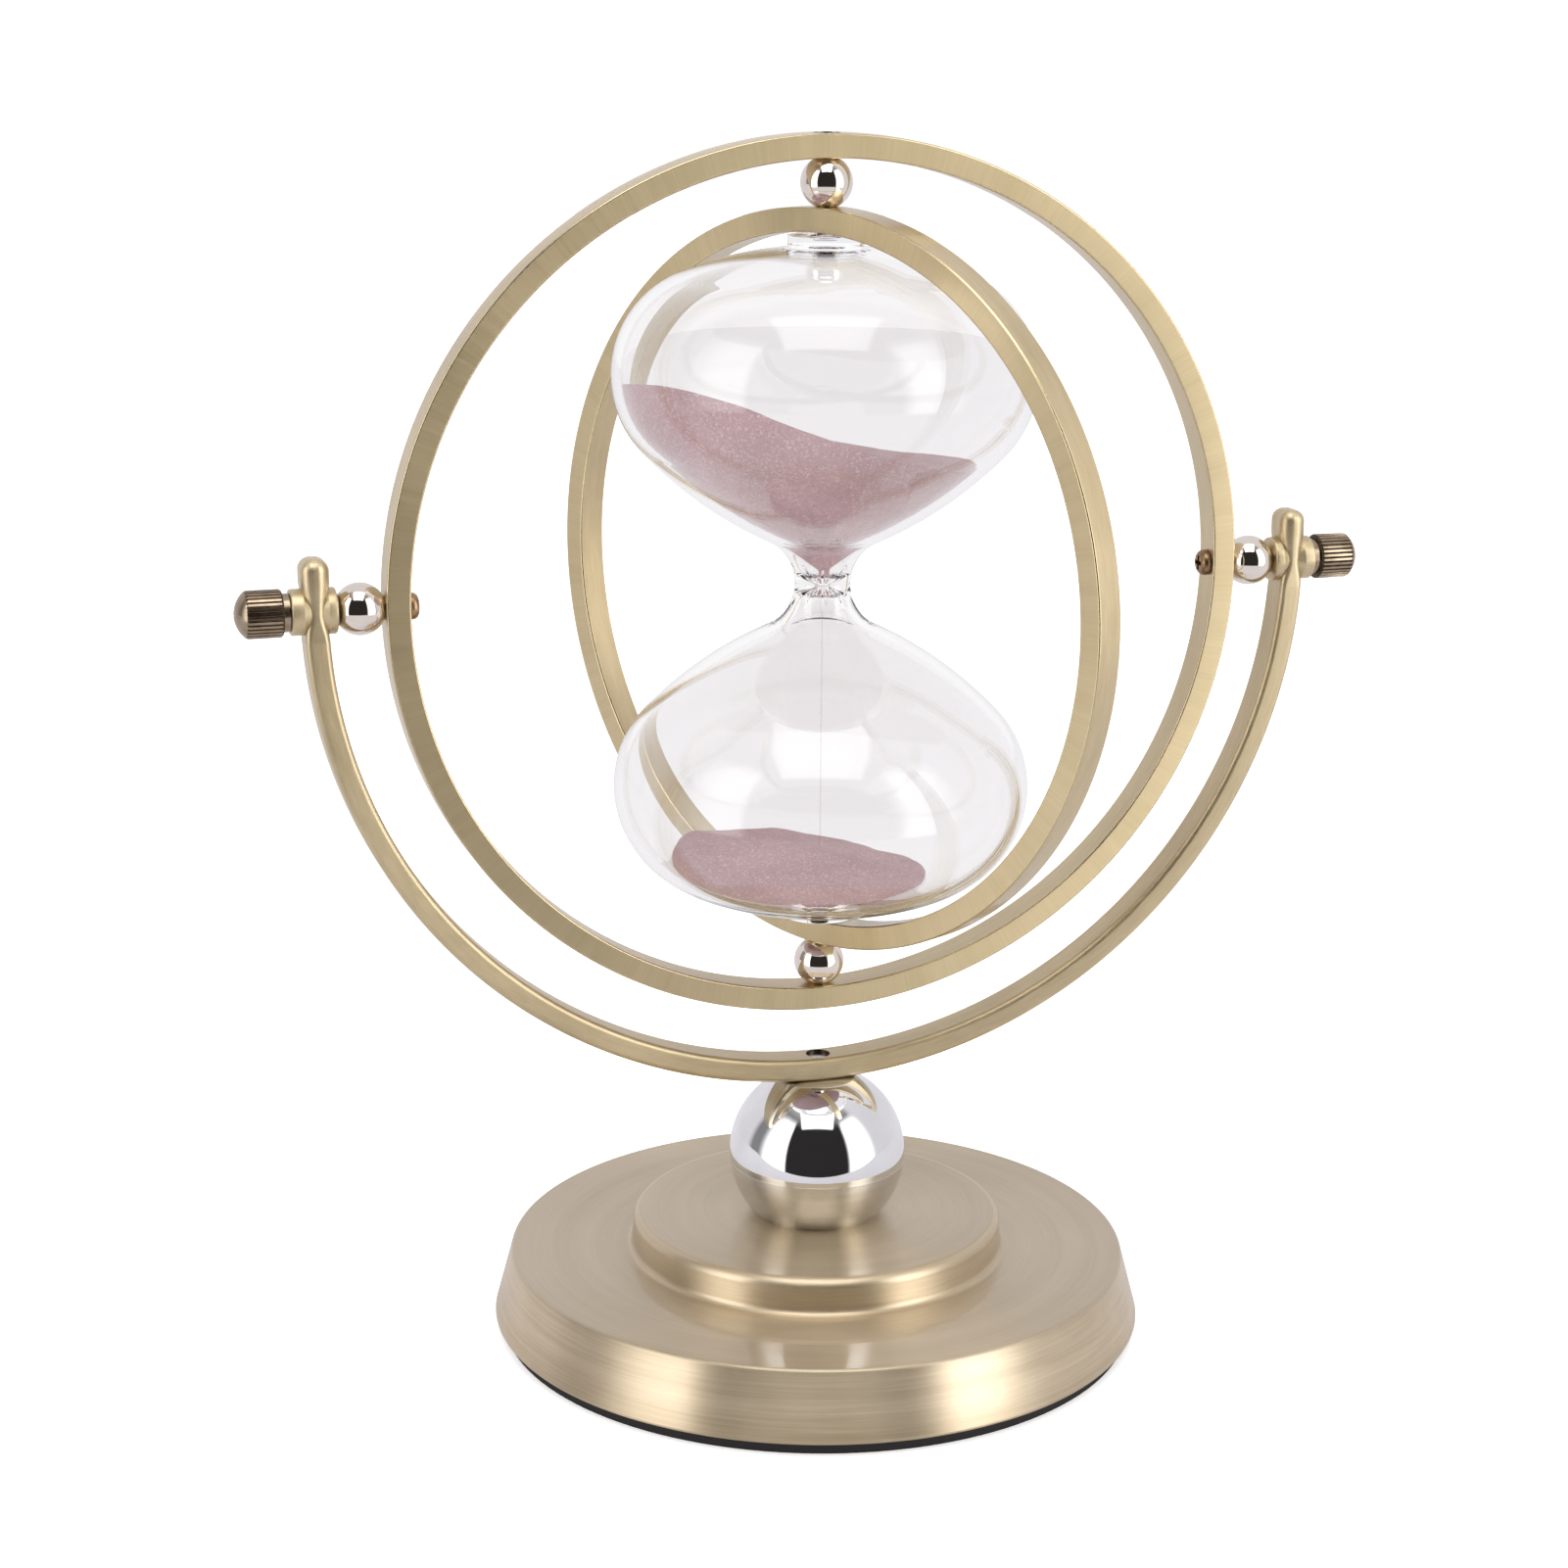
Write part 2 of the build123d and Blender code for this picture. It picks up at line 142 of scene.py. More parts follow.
RIM_EDGE = 0.7
RIM_LIP = 0.5
DISC_R = 31.4
DISC_H = 6.0
DISC_RUN = 0.4
DISC_EDGE = 1.7
DISC_FOOT = 1.2
SHELL_T = 1.2
INSIDE_EDGE = 0.3
BOLT_BORE_R = 2.05
BOLT_BORE_REACH = 6.0
BOLT_BORE_SHARE = 1.01
GLASS_PAD_R = 6.2
GLASS_PAD_EDGE = 0.3
GLASS_PAD_BED = 0.1

# Glass outline
NECK_R = 4.6
NECK_FLARE_R = 8.0
BULB_R = 34.4
BULB_Z = 34.0
SIDE_R = 17.5
SHOULDER_R = 68.0
CROWN_R = 62.0
GLASS_WALL = 1.5
ORIFICE_R = 0.8
PLUG_R = 2.8
PLUG_TIP_R = 1.7
PLUG_LENGTH = 3.2
PINCH_HEIGHT = 1.2
FOLD_COUNT = 7
FOLD_DEPTH = 0.3
FOLD_REACH = 4.0

# Sand: it runs down along a heading, and its surfaces fall away across it
SAND_GAP = 0.1
SAND_HEADING = -17.4
SAND_LEVEL = 25.3
SAND_BACK_FALL = 0.17
SAND_TWIST = 0.0016
SHELF_FALL = 0.08
SLOPE_DROP = 4.2
SLOPE_MIDDLE = -8.0
SLOPE_REACH = 16.0
SAND_TIP_Z = 0.4
SAND_TIP_R = 0.6
SAND_NECK_GAP = 3.2
SAND_NECK_REACH = 4.5
HEAP_TOP_Z = -44.7
HEAP_PEAK = -8.0
HEAP_SIDE_FALL = 0.25
HEAP_SHELF_FALL = 0.05
HEAP_ROUND = 3.0
HEAP_PLATEAU = 13.0
HEAP_DROP = 0.12
HEAP_RIDGE = 2.0
HEAP_SPREAD = 110.0
HEAP_MIDDLE_R = 0.05
STREAM_R = 0.2
STREAM_NARROW_R = 0.12
STREAM_NARROW_Z = -6.0
STREAM_FOOT_R = 0.1
STREAM_SUNK = 0.3

# The sand's unevenness: how wide and how deep its ripples are
UPPER_RIPPLE = (9.0, 0.3)
HEAP_RIPPLE = (7.0, 0.5)
FINE_RIPPLE = (2.0, 0.08)
RIPPLE_SLICE = 7.3

# Places that follow from the frame, in millimetres from the pivot unless they are on the stand
tilt = next(joint for joint in frame["joints"] if joint["name"] == "ring_tilt")
pivot = Vector(tilt["pos_m"])
body_of_node = {name: node["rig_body"] for name, node in frame["nodes"].items()}


def extent(node, axis):
    """A node's lowest and highest place along an axis, in millimetres."""
    low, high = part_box(node)
    return low[axis] / MM, high[axis] / MM


pivot_z = pivot.z / MM
hub = (0, 0, pivot_z)
outer_ring_out = extent("outer_ring", 0)[1]
outer_ring_in = outer_ring_out - OUTER_RING_T
outer_ring_w = 2 * extent("outer_ring", 1)[1]
inner_ring_out = extent("inner_ring", 2)[1] - pivot_z
inner_ring_in = inner_ring_out - INNER_RING_T
inner_ring_corner = hypot(inner_ring_out, INNER_RING_W / 2)
corner_angle = atan2(INNER_RING_W / 2, inner_ring_out)
swivel = -(corner_angle + acos(extent("inner_ring", 0)[1] / inner_ring_corner))
pole_z = extent("glass", 2)[1] - pivot_z
boss_out = extent("yoke", 0)[1]
yoke_out = boss_out - BOSS_OUTER_L
yoke_in = yoke_out - YOKE_T
yoke_middle = (yoke_in + yoke_out) / 2
boss_in = yoke_in - BOSS_INNER_L
pad_top = extent("base_pad", 2)[1]
rim_top = pad_top + RIM_H
disc_top = extent("base_shell", 2)[1]
flush_top = outer_ring_out - FLUSH_HEAD_SINK
flush_neck = flush_top - (FLUSH_HEAD_R - SCREW_R)
axis_tip = inner_ring_in - AXIS_SCREW_PROUD
seam_z = extent("stem_cup", 2)[1]
seat_z = extent("stem_ball", 2)[1]
crown_angle = acos((BULB_R - SIDE_R) / (CROWN_R - SIDE_R))
crown_z = BULB_Z - (CROWN_R - SIDE_R) * sin(crown_angle)


# Outlines: lists of (radius, height) points


def arc(centre, start, end, steps):
    """Points on the short arc about a centre from start to end."""
    radius = hypot(start[0] - centre[0], start[1] - centre[1])
    first = atan2(start[1] - centre[1], start[0] - centre[0])
    turn = atan2(end[1] - centre[1], end[0] - centre[0]) - first
    turn = (turn + pi) % (2 * pi) - pi
    angles = [first + turn * step / steps for step in range(steps + 1)]
    return [(centre[0] + radius * cos(angle), centre[1] + radius * sin(angle)) for angle in angles]


def rounded(points, radii, steps=8, closed=False):
    """A polyline with its corners rounded. An open one keeps its two end points."""
    count = len(points)
    corners = range(count) if closed else range(1, count - 1)
    outline = [] if closed else [points[0]]
    for corner, radius in zip(corners, radii):
        here = Vector(points[corner])
        back = (Vector(points[corner - 1]) - here).normalized()
        ahead = (Vector(points[(corner + 1) % count]) - here).normalized()
        half = back.angle(ahead) / 2
        centre = here + (back + ahead).normalized() * radius / sin(half)
        start = here + back * radius / tan(half)
        end = here + ahead * radius / tan(half)
        outline += arc(centre, start, end, steps)
    return outline if closed else outline + [points[-1]]


def box_section(inner, thickness, width, edge):
    """The rounded section of a hoop, from its inner radius outwards."""
    corners = [
        (inner, -width / 2),
        (inner + thickness, -width / 2),
        (inner + thickness, width / 2),
        (inner, width / 2),
    ]
    return rounded(corners, [edge] * 4, steps=5, closed=True)


def steps_of(outline):
    """The distances from each point of an outline to the next."""
    return [hypot(b[0] - a[0], b[1] - a[1]) for a, b in zip(outline, outline[1:])]


def on_ray(origin, target, distance):
    """The point at a distance from origin on the ray through target."""
    share = distance / hypot(target[0] - origin[0], target[1] - origin[1])
    return (origin[0] + (target[0] - origin[0]) * share, origin[1] + (target[1] - origin[1]) * share)


def bulb_outline(neck_r, flare_r, inset, steps=28):
    """Half of the glass's outline, from the neck's middle up to the flat at the pole."""
    neck = (neck_r + flare_r, 0)
    side = (BULB_R - SIDE_R, BULB_Z)
    side_r = SIDE_R - inset
    shoulder_r = SHOULDER_R - inset
    apart = hypot(neck[0] - side[0], neck[1] - side[1])
    side_reach = shoulder_r - side_r
    neck_reach = shoulder_r + flare_r
    along = (side_reach**2 - neck_reach**2 + apart**2) / (2 * apart)
    across = sqrt(side_reach**2 - along**2)
    unit = ((neck[0] - side[0]) / apart, (neck[1] - side[1]) / apart)
    shoulder = (
        side[0] + along * unit[0] + across * unit[1],
        side[1] + along * unit[1] - across * unit[0],
    )
    flare_end = on_ray(neck, shoulder, flare_r)
    shoulder_end = on_ray(shoulder, side, shoulder_r)
    side_end = (side[0] + side_r * cos(crown_angle), side[1] + side_r * sin(crown_angle))
    flat_z = pole_z - inset
    flat_edge = (sqrt((CROWN_R - inset) ** 2 - (flat_z - crown_z) ** 2), flat_z)
    outline = arc(neck, (neck_r, 0), flare_end, steps)
    outline += arc(shoulder, flare_end, shoulder_end, steps)[1:]
    outline += arc(side, shoulder_end, side_end, 2 * steps)[1:]
    outline += arc((0, crown_z), side_end, flat_edge, steps)[1:]
    return outline


def rod(radius, low, high):
    """Outline of a plain round bar."""
    return [(0, low), (radius, low), (radius, high), (0, high)]


def turned_over(outline):
    """An outline at the lower pole, from one at the upper pole."""
    return [(radius, -height) for radius, height in outline]


# Meshes

TO_AXIS = {
    "X": Matrix.Rotation(pi / 2, 4, "Y"),
    "Y": Matrix.Rotation(-pi / 2, 4, "X"),
    "Z": Matrix.Identity(4),
}
ACROSS_AXIS = {"X": "Z", "Z": "Y"}
SHARP_ANGLE = radians(38)
FLAT_COSINE = 0.95
EDGE_COSINE = 0.25
FLANK_SPREAD = 0.06


def linked(name, data):
    """A new object in the scene."""
    item = bpy.data.objects.new(name, data)
    bpy.context.scene.collection.objects.link(item)
    return item


def smoothed(mesh):
    """A mesh shaded smooth between its sharp edges."""
    for polygon in mesh.polygons:
        polygon.use_smooth = True
    mesh.set_sharp_from_angle(angle=SHARP_ANGLE)
    return mesh


def new_piece(name, form):
    """An object from a bmesh whose points are in metres."""
    mesh = bpy.data.meshes.new(name)
    form.to_mesh(mesh)
    form.free()
    return linked(name, smoothed(mesh))


def skin(name, rows, lengths, segments, closed=False):
    """A mesh through rows of points, with brush coordinates from its turns and the rows' lengths.

    A row of one point is a pole. A row with a point more than there are segments doesn't come round.
    A closed skin joins its last row to its first and caps the ends of rows that don't come round.
    """
    form = bmesh.new()
    brush = form.loops.layers.uv.new("Brush")
    grid = [[form.verts.new(point) for point in row] for row in rows]
    joined_rows = grid + grid[:1] if closed else grid
    for low, high, start, end in zip(joined_rows, joined_rows[1:], lengths, lengths[1:]):
        for column in range(segments):
            after = column + 1
            lower = ((low, column, start), (low, after, start))
            upper = ((high, after, end), (high, column, end))
            corners = {}
            for row, turn, length in lower + upper:
                corners.setdefault(row[turn % len(row)], (turn / segments, length * MM))
            if len(corners) > 2:
                face = form.faces.new(list(corners))
                for loop, place in zip(face.loops, corners.values()):
                    loop[brush].uv = place
    if closed and len(grid[0]) > segments:
        form.faces.new([row[0] for row in grid])
        form.faces.new([row[-1] for row in reversed(grid)])
    bmesh.ops.recalc_face_normals(form, faces=form.faces)
    return new_piece(name, form)


def lathe(
    name, outline, axis="Z", centre=(0, 0, 0), closed=False, shape=None, arc_of=None, segments=SEGMENTS
):
    """Turns an outline about an axis through a centre, all in millimetres.

    A closed outline is a section that comes back to its start. The shape function may change the
    radius at an angle and an outline point. arc_of gives a first and a last angle of a part turn.
    """
    place = Matrix.Translation(Vector(centre) * MM) @ TO_AXIS[axis]
    first, last = arc_of or (0, 2 * pi)
    columns = segments + 1 if arc_of else segments
    angles = [first + (last - first) * column / segments for column in range(columns)]
    rows = []
    for index, (radius, height) in enumerate(outline):
        row = []
        for angle in angles if radius else angles[:1]:
            reach = shape(angle, index, radius) if shape and radius else radius
            row.append(place @ (Vector((reach * cos(angle), reach * sin(angle), height)) * MM))
        rows.append(row)
    lengths = list(accumulate(steps_of(outline + outline[:1]), initial=0))
    return skin(name, rows, lengths, segments, closed)


def block(name, size, centre):
    """A plain box."""
    form = bmesh.new()
    bmesh.ops.create_cube(form, size=1)
    bmesh.ops.scale(form, vec=Vector(size) * MM, verts=form.verts)
    bmesh.ops.translate(form, vec=Vector(centre) * MM, verts=form.verts)
    return new_piece(name, form)


def modify(piece, kind, **settings):
    """Changes a piece's mesh as a modifier would."""
    modifier = piece.modifiers.new("change", kind)
    for key, value in settings.items():
        setattr(modifier, key, value)
    evaluated = piece.evaluated_get(bpy.context.evaluated_depsgraph_get())
    mesh = bpy.data.meshes.new_from_object(evaluated)
    piece.modifiers.clear()
    piece.data = mesh


def combine(piece, tool, operation):
    """Joins a tool to a piece or cuts it out, and removes the tool."""
    modify(piece, "BOOLEAN", operation=operation, solver="EXACT", object=tool)
    bpy.data.objects.remove(tool)
    smoothed(piece.data)
    return piece


def level_flats(piece):
    """Lets large faces set the shading, so that a flat stays flat right up to its rounded edge."""
    modify(piece, "WEIGHTED_NORMAL", keep_sharp=True)


def move(piece, matrix):
    """Moves a piece by changing its mesh, so that its object stays at the origin."""
    piece.data.transform(matrix)
    return piece


def about_pivot(angle, axis):
    """A turn about an axis through the pivot."""
    turn = Matrix.Rotation(radians(angle), 4, axis)
    return Matrix.Translation(pivot) @ turn @ Matrix.Translation(-pivot)


def on_axis(name, outline, axis, turn, segments):
    """An outline turned about an axis through the pivot, on its near side at 0 and its far side at 180."""
    piece = lathe(name, outline, axis, hub, segments=segments)
    return move(piece, about_pivot(turn, ACROSS_AXIS[axis]))


def drill(piece, outline, axis, turn):
    """Cuts a turned outline out of a piece."""
    combine(piece, on_axis("cutter", outline, axis, turn, CUTTER_SEGMENTS), "DIFFERENCE")


def dress(piece, material, *nodes):
    """Puts a piece in the place of solids, on their body and in their material slot."""
    level_flats(piece)
    piece.data.materials.clear()
    piece.data.materials.append(material)
    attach(piece, body_of_node[nodes[0]])
    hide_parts(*nodes)
    return piece


def paint(piece, material, chosen):
    """Gives the faces that a test chooses a finish of their own."""
    piece.data.materials.append(material)
    for polygon in piece.data.polygons:
        if chosen(polygon):
            polygon.material_index = len(piece.data.materials) - 1


def finish_hoop(piece, axis):
    """Gives a hoop's two flat sides their cross grain and its rounded edges their worn gloss."""
    paint(piece, side_brass, lambda face: abs(face.normal.dot(axis)) > FLAT_COSINE)
    paint(piece, edge_brass, lambda face: FLAT_COSINE >= abs(face.normal.dot(axis)) > EDGE_COSINE)


# Materials


class Nodes:
    """A node tree, with short calls to add and link nodes."""

    def __init__(self, owner, shader):
        owner.use_nodes = True
        self.owner = owner
        self.tree = owner.node_tree
        self.shader = self.tree.nodes[shader]

    def add(self, kind, inputs=None, **settings):
        """A node with its settings, and its inputs as values or as links from other sockets."""
        node = self.tree.nodes.new(kind)
        for key, value in settings.items():
            setattr(node, key, value)
        for key, value in (inputs or {}).items():
            self.feed(node, key, value)
        return node

    def feed(self, node, key, value):
        """Sets an input, or links it when the value is another node's output."""
        if isinstance(value, bpy.types.NodeSocket):
            self.tree.links.new(value, node.inputs[key])
        else:
            node.inputs[key].default_value = value

    def math(self, operation, *values):
        """The result of a math node."""
        node = self.add("ShaderNodeMath", operation=operation)
        for index, value in enumerate(values):
            self.feed(node, index, value)
        return node.outputs[0]

    # The product, the sum and the larger of two values
    times = partialmethod(math, "MULTIPLY")
    plus = partialmethod(math, "ADD")
    most = partialmethod(math, "MAXIMUM")

    def place(self):
        """The place on the object, in metres."""
        return self.add("ShaderNodeTexCoord").outputs["Object"]

    def towards(self, direction, unit):
        """How far a direction points along a unit vector."""
        inputs = {0: direction, 1: unit}
        return self.add("ShaderNodeVectorMath", inputs, operation="DOT_PRODUCT").outputs["Value"]

    def noise(self, vector, scale, detail=2.0, roughness=0.5):
        """A noise texture's value."""
        inputs = {"Vector": vector, "Scale": scale, "Detail": detail, "Roughness": roughness}
        return self.add("ShaderNodeTexNoise", inputs).outputs["Fac"]

    def map_range(self, value, bounds, **settings):
        """A value spread between bounds."""
        return self.add("ShaderNodeMapRange", {"Value": value, **bounds}, **settings).outputs[0]

    def ramp(self, value, low, high):
        """A value spread so that low becomes 0 and high becomes 1."""
        return self.map_range(value, {"From Min": low, "From Max": high})

    def scaled(self, value, low, high):
        """A value from 0 to 1 spread from low to high."""
        return self.map_range(value, {"To Min": low, "To Max": high})

    def mix(self, factor, first, second):
        """A colour between two colours."""
        node = self.add("ShaderNodeMix", data_type="RGBA")
        self.feed(node, 0, factor)
        self.feed(node, 6, first)
        self.feed(node, 7, second)
        return node.outputs[2]

    def bump(self, height, strength, distance):
        """A normal bent by a height."""
        inputs = {"Height": height, "Strength": strength, "Distance": distance}
        return self.add("ShaderNodeBump", inputs).outputs[0]

    def set(self, **values):
        """Sets or links the shader's own inputs, named with underscores for spaces."""
        for key, value in values.items():
            self.feed(self.shader, key.replace("_", " "), value)
        return self.owner

    def smooth(self, value, low, high):
        """A value eased from 0 at low to 1 at high."""
        bounds = {"From Min": low, "From Max": high}
        return self.map_range(value, bounds, interpolation_type="SMOOTHSTEP")

    def ease(self, angle, start, full):
        """An angle eased from 0 at start to 1 at full, both in degrees."""
        return self.smooth(angle, radians(start), radians(full))

    def band(self, angle, start, full, fade, end):
        """1 from full to fade, eased to 0 at start and at end, all in degrees."""
        return self.times(self.ease(angle, start, full), self.ease(angle, end, fade))

    def mirrored(self):
        """1 for light that comes off a surface as a reflection, and 0 for all other light."""
        path = self.add("ShaderNodeLightPath")
        seen = self.math("SUBTRACT", path.outputs["Is Glossy Ray"], path.outputs["Is Transmission Ray"])
        return self.most(seen, 0.0)


def material_nodes(name):
    """The nodes of a new material."""
    return Nodes(bpy.data.materials.new(name), "Principled BSDF")


def colour(red, green, blue):
    """An opaque colour, in linear light."""
    return (red, green, blue, 1.0)


def brushed_metal(name, tones, roughness, anisotropy, bump, coat, turns=9.0, width=0.0006, across=False):
    """Brass brushed round its axis or across it, under lacquer, with tarnish in soft patches.

    The tones are the light and the tarnished colour. The brush lines are noise that is stretched:
    turns sets how often it varies round the axis, and width is its size in metres the other way.
    """
    nodes = material_nodes(name)
    place = nodes.add("ShaderNodeUVMap", uv_map="Brush").outputs[0]
    parts = nodes.add("ShaderNodeSeparateXYZ", {0: place})
    angle = nodes.times(parts.outputs[0], 2 * pi)
    round_x = nodes.times(nodes.math("COSINE", angle), turns)
    round_y = nodes.times(nodes.math("SINE", angle), turns)
    along = nodes.math("DIVIDE", parts.outputs[1], width)
    lines = nodes.add("ShaderNodeCombineXYZ", {0: round_x, 1: round_y, 2: along}).outputs[0]
    fine = nodes.noise(lines, scale=1.0, detail=2.0 if across else 4.0, roughness=0.65)
    broad_lines = nodes.noise(lines, scale=0.13)
    where = nodes.place()
    patches = nodes.noise(where, scale=55.0, detail=3.0)
    grime = nodes.noise(where, scale=900.0)
    tone = nodes.plus(nodes.times(fine, 0.35), nodes.times(broad_lines, 0.35))
    tone = nodes.plus(tone, nodes.times(patches, 0.3))
    tone = nodes.ramp(tone, 0.34, 0.66)
    gloss = nodes.plus(nodes.scaled(fine, -0.05, 0.05), nodes.scaled(patches, -0.03, 0.03))
    gloss = nodes.plus(gloss, nodes.scaled(grime, roughness - 0.02, roughness + 0.02))
    tangent = nodes.add("ShaderNodeTangent", direction_type="UV_MAP", uv_map="Brush").outputs[0]
    return nodes.set(
        Base_Color=nodes.mix(tone, tones[1], tones[0]),
        Metallic=1.0,
        Roughness=gloss,
        Anisotropic=anisotropy,
        Anisotropic_Rotation=0.0 if across else 0.25,
        Tangent=tangent,
        Coat_Weight=coat,
        Coat_Roughness=0.06,
        Normal=nodes.bump(fine, bump, distance=0.00002),
    )


def polished_metal(name, tint, roughness):
    """Mirror metal with faint haze and handling marks."""
    nodes = material_nodes(name)
    where = nodes.place()
    haze = nodes.noise(where, scale=140.0, detail=3.0)
    specks = nodes.ramp(nodes.noise(where, scale=2600.0, detail=1.0), 0.62, 0.8)
    dull = tuple(0.9 * part for part in tint[:3]) + (1.0,)
    gloss = nodes.scaled(haze, roughness * 0.6, roughness * 1.4)
    return nodes.set(
        Base_Color=nodes.mix(nodes.ramp(haze, 0.35, 0.7), tint, dull),
        Metallic=1.0,
        Roughness=nodes.plus(gloss, nodes.scaled(specks, 0, 0.05)),
        Normal=nodes.bump(haze, strength=0.02, distance=0.00005),
    )


def aged_or_shaded_metal(name, light, dark, roughness):
    """Darkened brass, worn brighter in patches, or near-black for painted shade in recesses."""
    nodes = material_nodes(name)
    where = nodes.place()
    wear = nodes.noise(where, scale=420.0, detail=4.0, roughness=0.6)
    grain = nodes.noise(where, scale=3200.0)
    return nodes.set(
        Base_Color=nodes.mix(nodes.ramp(wear, 0.35, 0.65), dark, light),
        Metallic=1.0,
        Roughness=nodes.scaled(wear, roughness + 0.08, roughness - 0.06),
        Normal=nodes.bump(grain, strength=0.08, distance=0.00003),
    )


def grainy(name, dark, light, scale, detail, rough, bump, depth, metallic=0.0):
    """A matte material whose one grain sets its tone, its gloss between two values and its bumps."""
    nodes = material_nodes(name)
    grain = nodes.noise(nodes.place(), scale, detail)
    return nodes.set(
        Base_Color=nodes.mix(grain, dark, light),
        Metallic=metallic,
        Roughness=nodes.scaled(grain, *rough),
        Normal=nodes.bump(grain, bump, depth),
    )


def clear(name, tint, ior, roughness):
    """Clear glass or plastic, with the faintest draw lines."""
    nodes = material_nodes(name)
    waves = nodes.noise(nodes.place(), scale=60.0, detail=1.0)
    return nodes.set(
        Base_Color=tint,
        Transmission_Weight=1.0,
        IOR=ior,
        Roughness=roughness,
        Normal=nodes.bump(waves, strength=0.03, distance=0.0004),
    )


def sand_grains(name, alpha=1.0):
    """Dusty rose grains with pale and dark ones among them and a few that glint."""
    nodes = material_nodes(name)
    where = nodes.place()
    cells = nodes.add("ShaderNodeTexVoronoi", {"Vector": where, "Scale": 3800.0})
    grain = nodes.add("ShaderNodeSeparateColor", {0: cells.outputs["Color"]}).outputs[0]
    drift = nodes.noise(where, scale=90.0, detail=3.0)
    body = nodes.mix(nodes.ramp(drift, 0.3, 0.7), colour(0.365, 0.233, 0.247), colour(0.44, 0.29, 0.305))
    pale = nodes.times(nodes.ramp(grain, 0.75, 1.0), 0.35)
    body = nodes.mix(pale, body, colour(0.8, 0.68, 0.7))
    dark = nodes.times(nodes.ramp(grain, 0.2, 0.0), 0.35)
    body = nodes.mix(dark, body, colour(0.25, 0.14, 0.155))
    glint = nodes.ramp(grain, 0.95, 0.98)
    return nodes.set(
        Base_Color=body,
        Roughness=nodes.scaled(glint, 0.9, 0.25),
        Alpha=alpha,
        Normal=nodes.bump(cells.outputs["Distance"], strength=0.6, distance=0.00012),
    )


# Brass, light and tarnished
RIM_BRASS = (colour(0.82, 0.69, 0.50), colour(0.50, 0.395, 0.25))
STEP_BRASS = (colour(0.71, 0.595, 0.42), colour(0.48, 0.38, 0.25))
LEDGE_BRASS = (colour(0.62, 0.515, 0.37), colour(0.50, 0.41, 0.275))
CUP_BRASS = (colour(0.81, 0.795, 0.775), colour(0.65, 0.63, 0.595))
STRAP_BRASS = (colour(0.70, 0.575, 0.355), colour(0.53, 0.42, 0.24))
SIDE_BRASS = (colour(0.665, 0.545, 0.335), colour(0.565, 0.455, 0.265))
YOKE_BRASS = (colour(0.68, 0.56, 0.355), colour(0.49, 0.39, 0.23))

rim_brass = brushed_metal(
    "rim_brass", RIM_BRASS, 0.4, anisotropy=0.95, bump=0.4, coat=0.4, turns=2.2, width=0.0005
)
step_brass = brushed_metal(
    "step_brass", STEP_BRASS, 0.42, anisotropy=0.75, bump=0.2, coat=0.4, turns=2.2, width=0.0007
)
ledge_brass = brushed_metal(
    "ledge_brass", LEDGE_BRASS, 0.46, anisotropy=0.8, bump=0.3, coat=0.8, turns=2.2, width=0.0005
)
side_brass = brushed_metal(
    "side_brass", SIDE_BRASS, 0.37, anisotropy=0.35, bump=0.05, coat=0.3,
    turns=150.0, width=0.02, across=True,
)
cup_brass = brushed_metal("cup_brass", CUP_BRASS, 0.24, anisotropy=0.7, bump=0.15, coat=0.3, turns=1.5)
strap_brass = brushed_metal("strap_brass", STRAP_BRASS, 0.36, anisotropy=0.6, bump=0.3, coat=0.6)
yoke_brass = brushed_metal("yoke_brass", YOKE_BRASS, 0.45, anisotropy=0.5, bump=0.3, coat=0.5)
lug_brass = brushed_metal("lug_brass", YOKE_BRASS, 0.44, anisotropy=0.45, bump=0.15, coat=0.5)
edge_brass = brushed_metal("edge_brass", STRAP_BRASS, 0.24, anisotropy=0.3, bump=0.1, coat=0.6)
thumb_brass = aged_or_shaded_metal("thumb_brass", colour(0.40, 0.32, 0.23), colour(0.29, 0.22, 0.15), 0.22)
# Near-black brass for the bottoms of the thumb screws' flutes and the walls of the yoke's bolt hole:
# painted shade
painted_recess_shade = aged_or_shaded_metal("painted_recess_shade", colour(0.12, 0.085, 0.06), colour(0.05, 0.035, 0.025), 0.4)
dark_brass = aged_or_shaded_metal("dark_brass", colour(0.42, 0.28, 0.16), colour(0.2, 0.12, 0.07), 0.32)
chrome = polished_metal("chrome", colour(0.86, 0.86, 0.87), roughness=0.03)
pale_brass = polished_metal("pale_brass", colour(0.84, 0.77, 0.70), roughness=0.04)
steel = polished_metal("steel", colour(0.75, 0.75, 0.75), roughness=0.25)
black_steel = polished_metal("black_steel", colour(0.05, 0.047, 0.045), roughness=0.3)
black_rubber = grainy(
    "black_rubber", colour(0.008, 0.0065, 0.0065), colour(0.02, 0.017, 0.017),
    scale=1800.0, detail=2.0, rough=(0.55, 0.75), bump=0.3, depth=0.00008,
)
iron = grainy(
    "iron", colour(0.05, 0.05, 0.05), colour(0.16, 0.15, 0.15),
    scale=900.0, detail=4.0, rough=(0.5, 0.8), bump=0.4, depth=0.0002, metallic=0.7,
)
clear_glass = clear("clear_glass", colour(0.965, 0.957, 0.962), ior=1.5, roughness=0.0)
clear_pad = clear("clear_pad", colour(0.94, 0.935, 0.95), ior=1.15, roughness=0.02)
rose_sand = sand_grains("rose_sand")
falling_sand = sand_grains("falling_sand", alpha=0.13)


# The stand


# The base's two sloping sides: a radius, the height where it is measured, and the slope's run and rise
rim_side = (RIM_R, pad_top, RIM_FLARE, RIM_H)
step_side = (DISC_R, disc_top, DISC_RUN, DISC_H)


def side_x(side, height, inset):
    """Radius of a sloping side at a height, set in square to the slope."""
    radius, start, run, rise = side
    return radius - run * (height - start) / rise - inset * hypot(run, rise) / rise


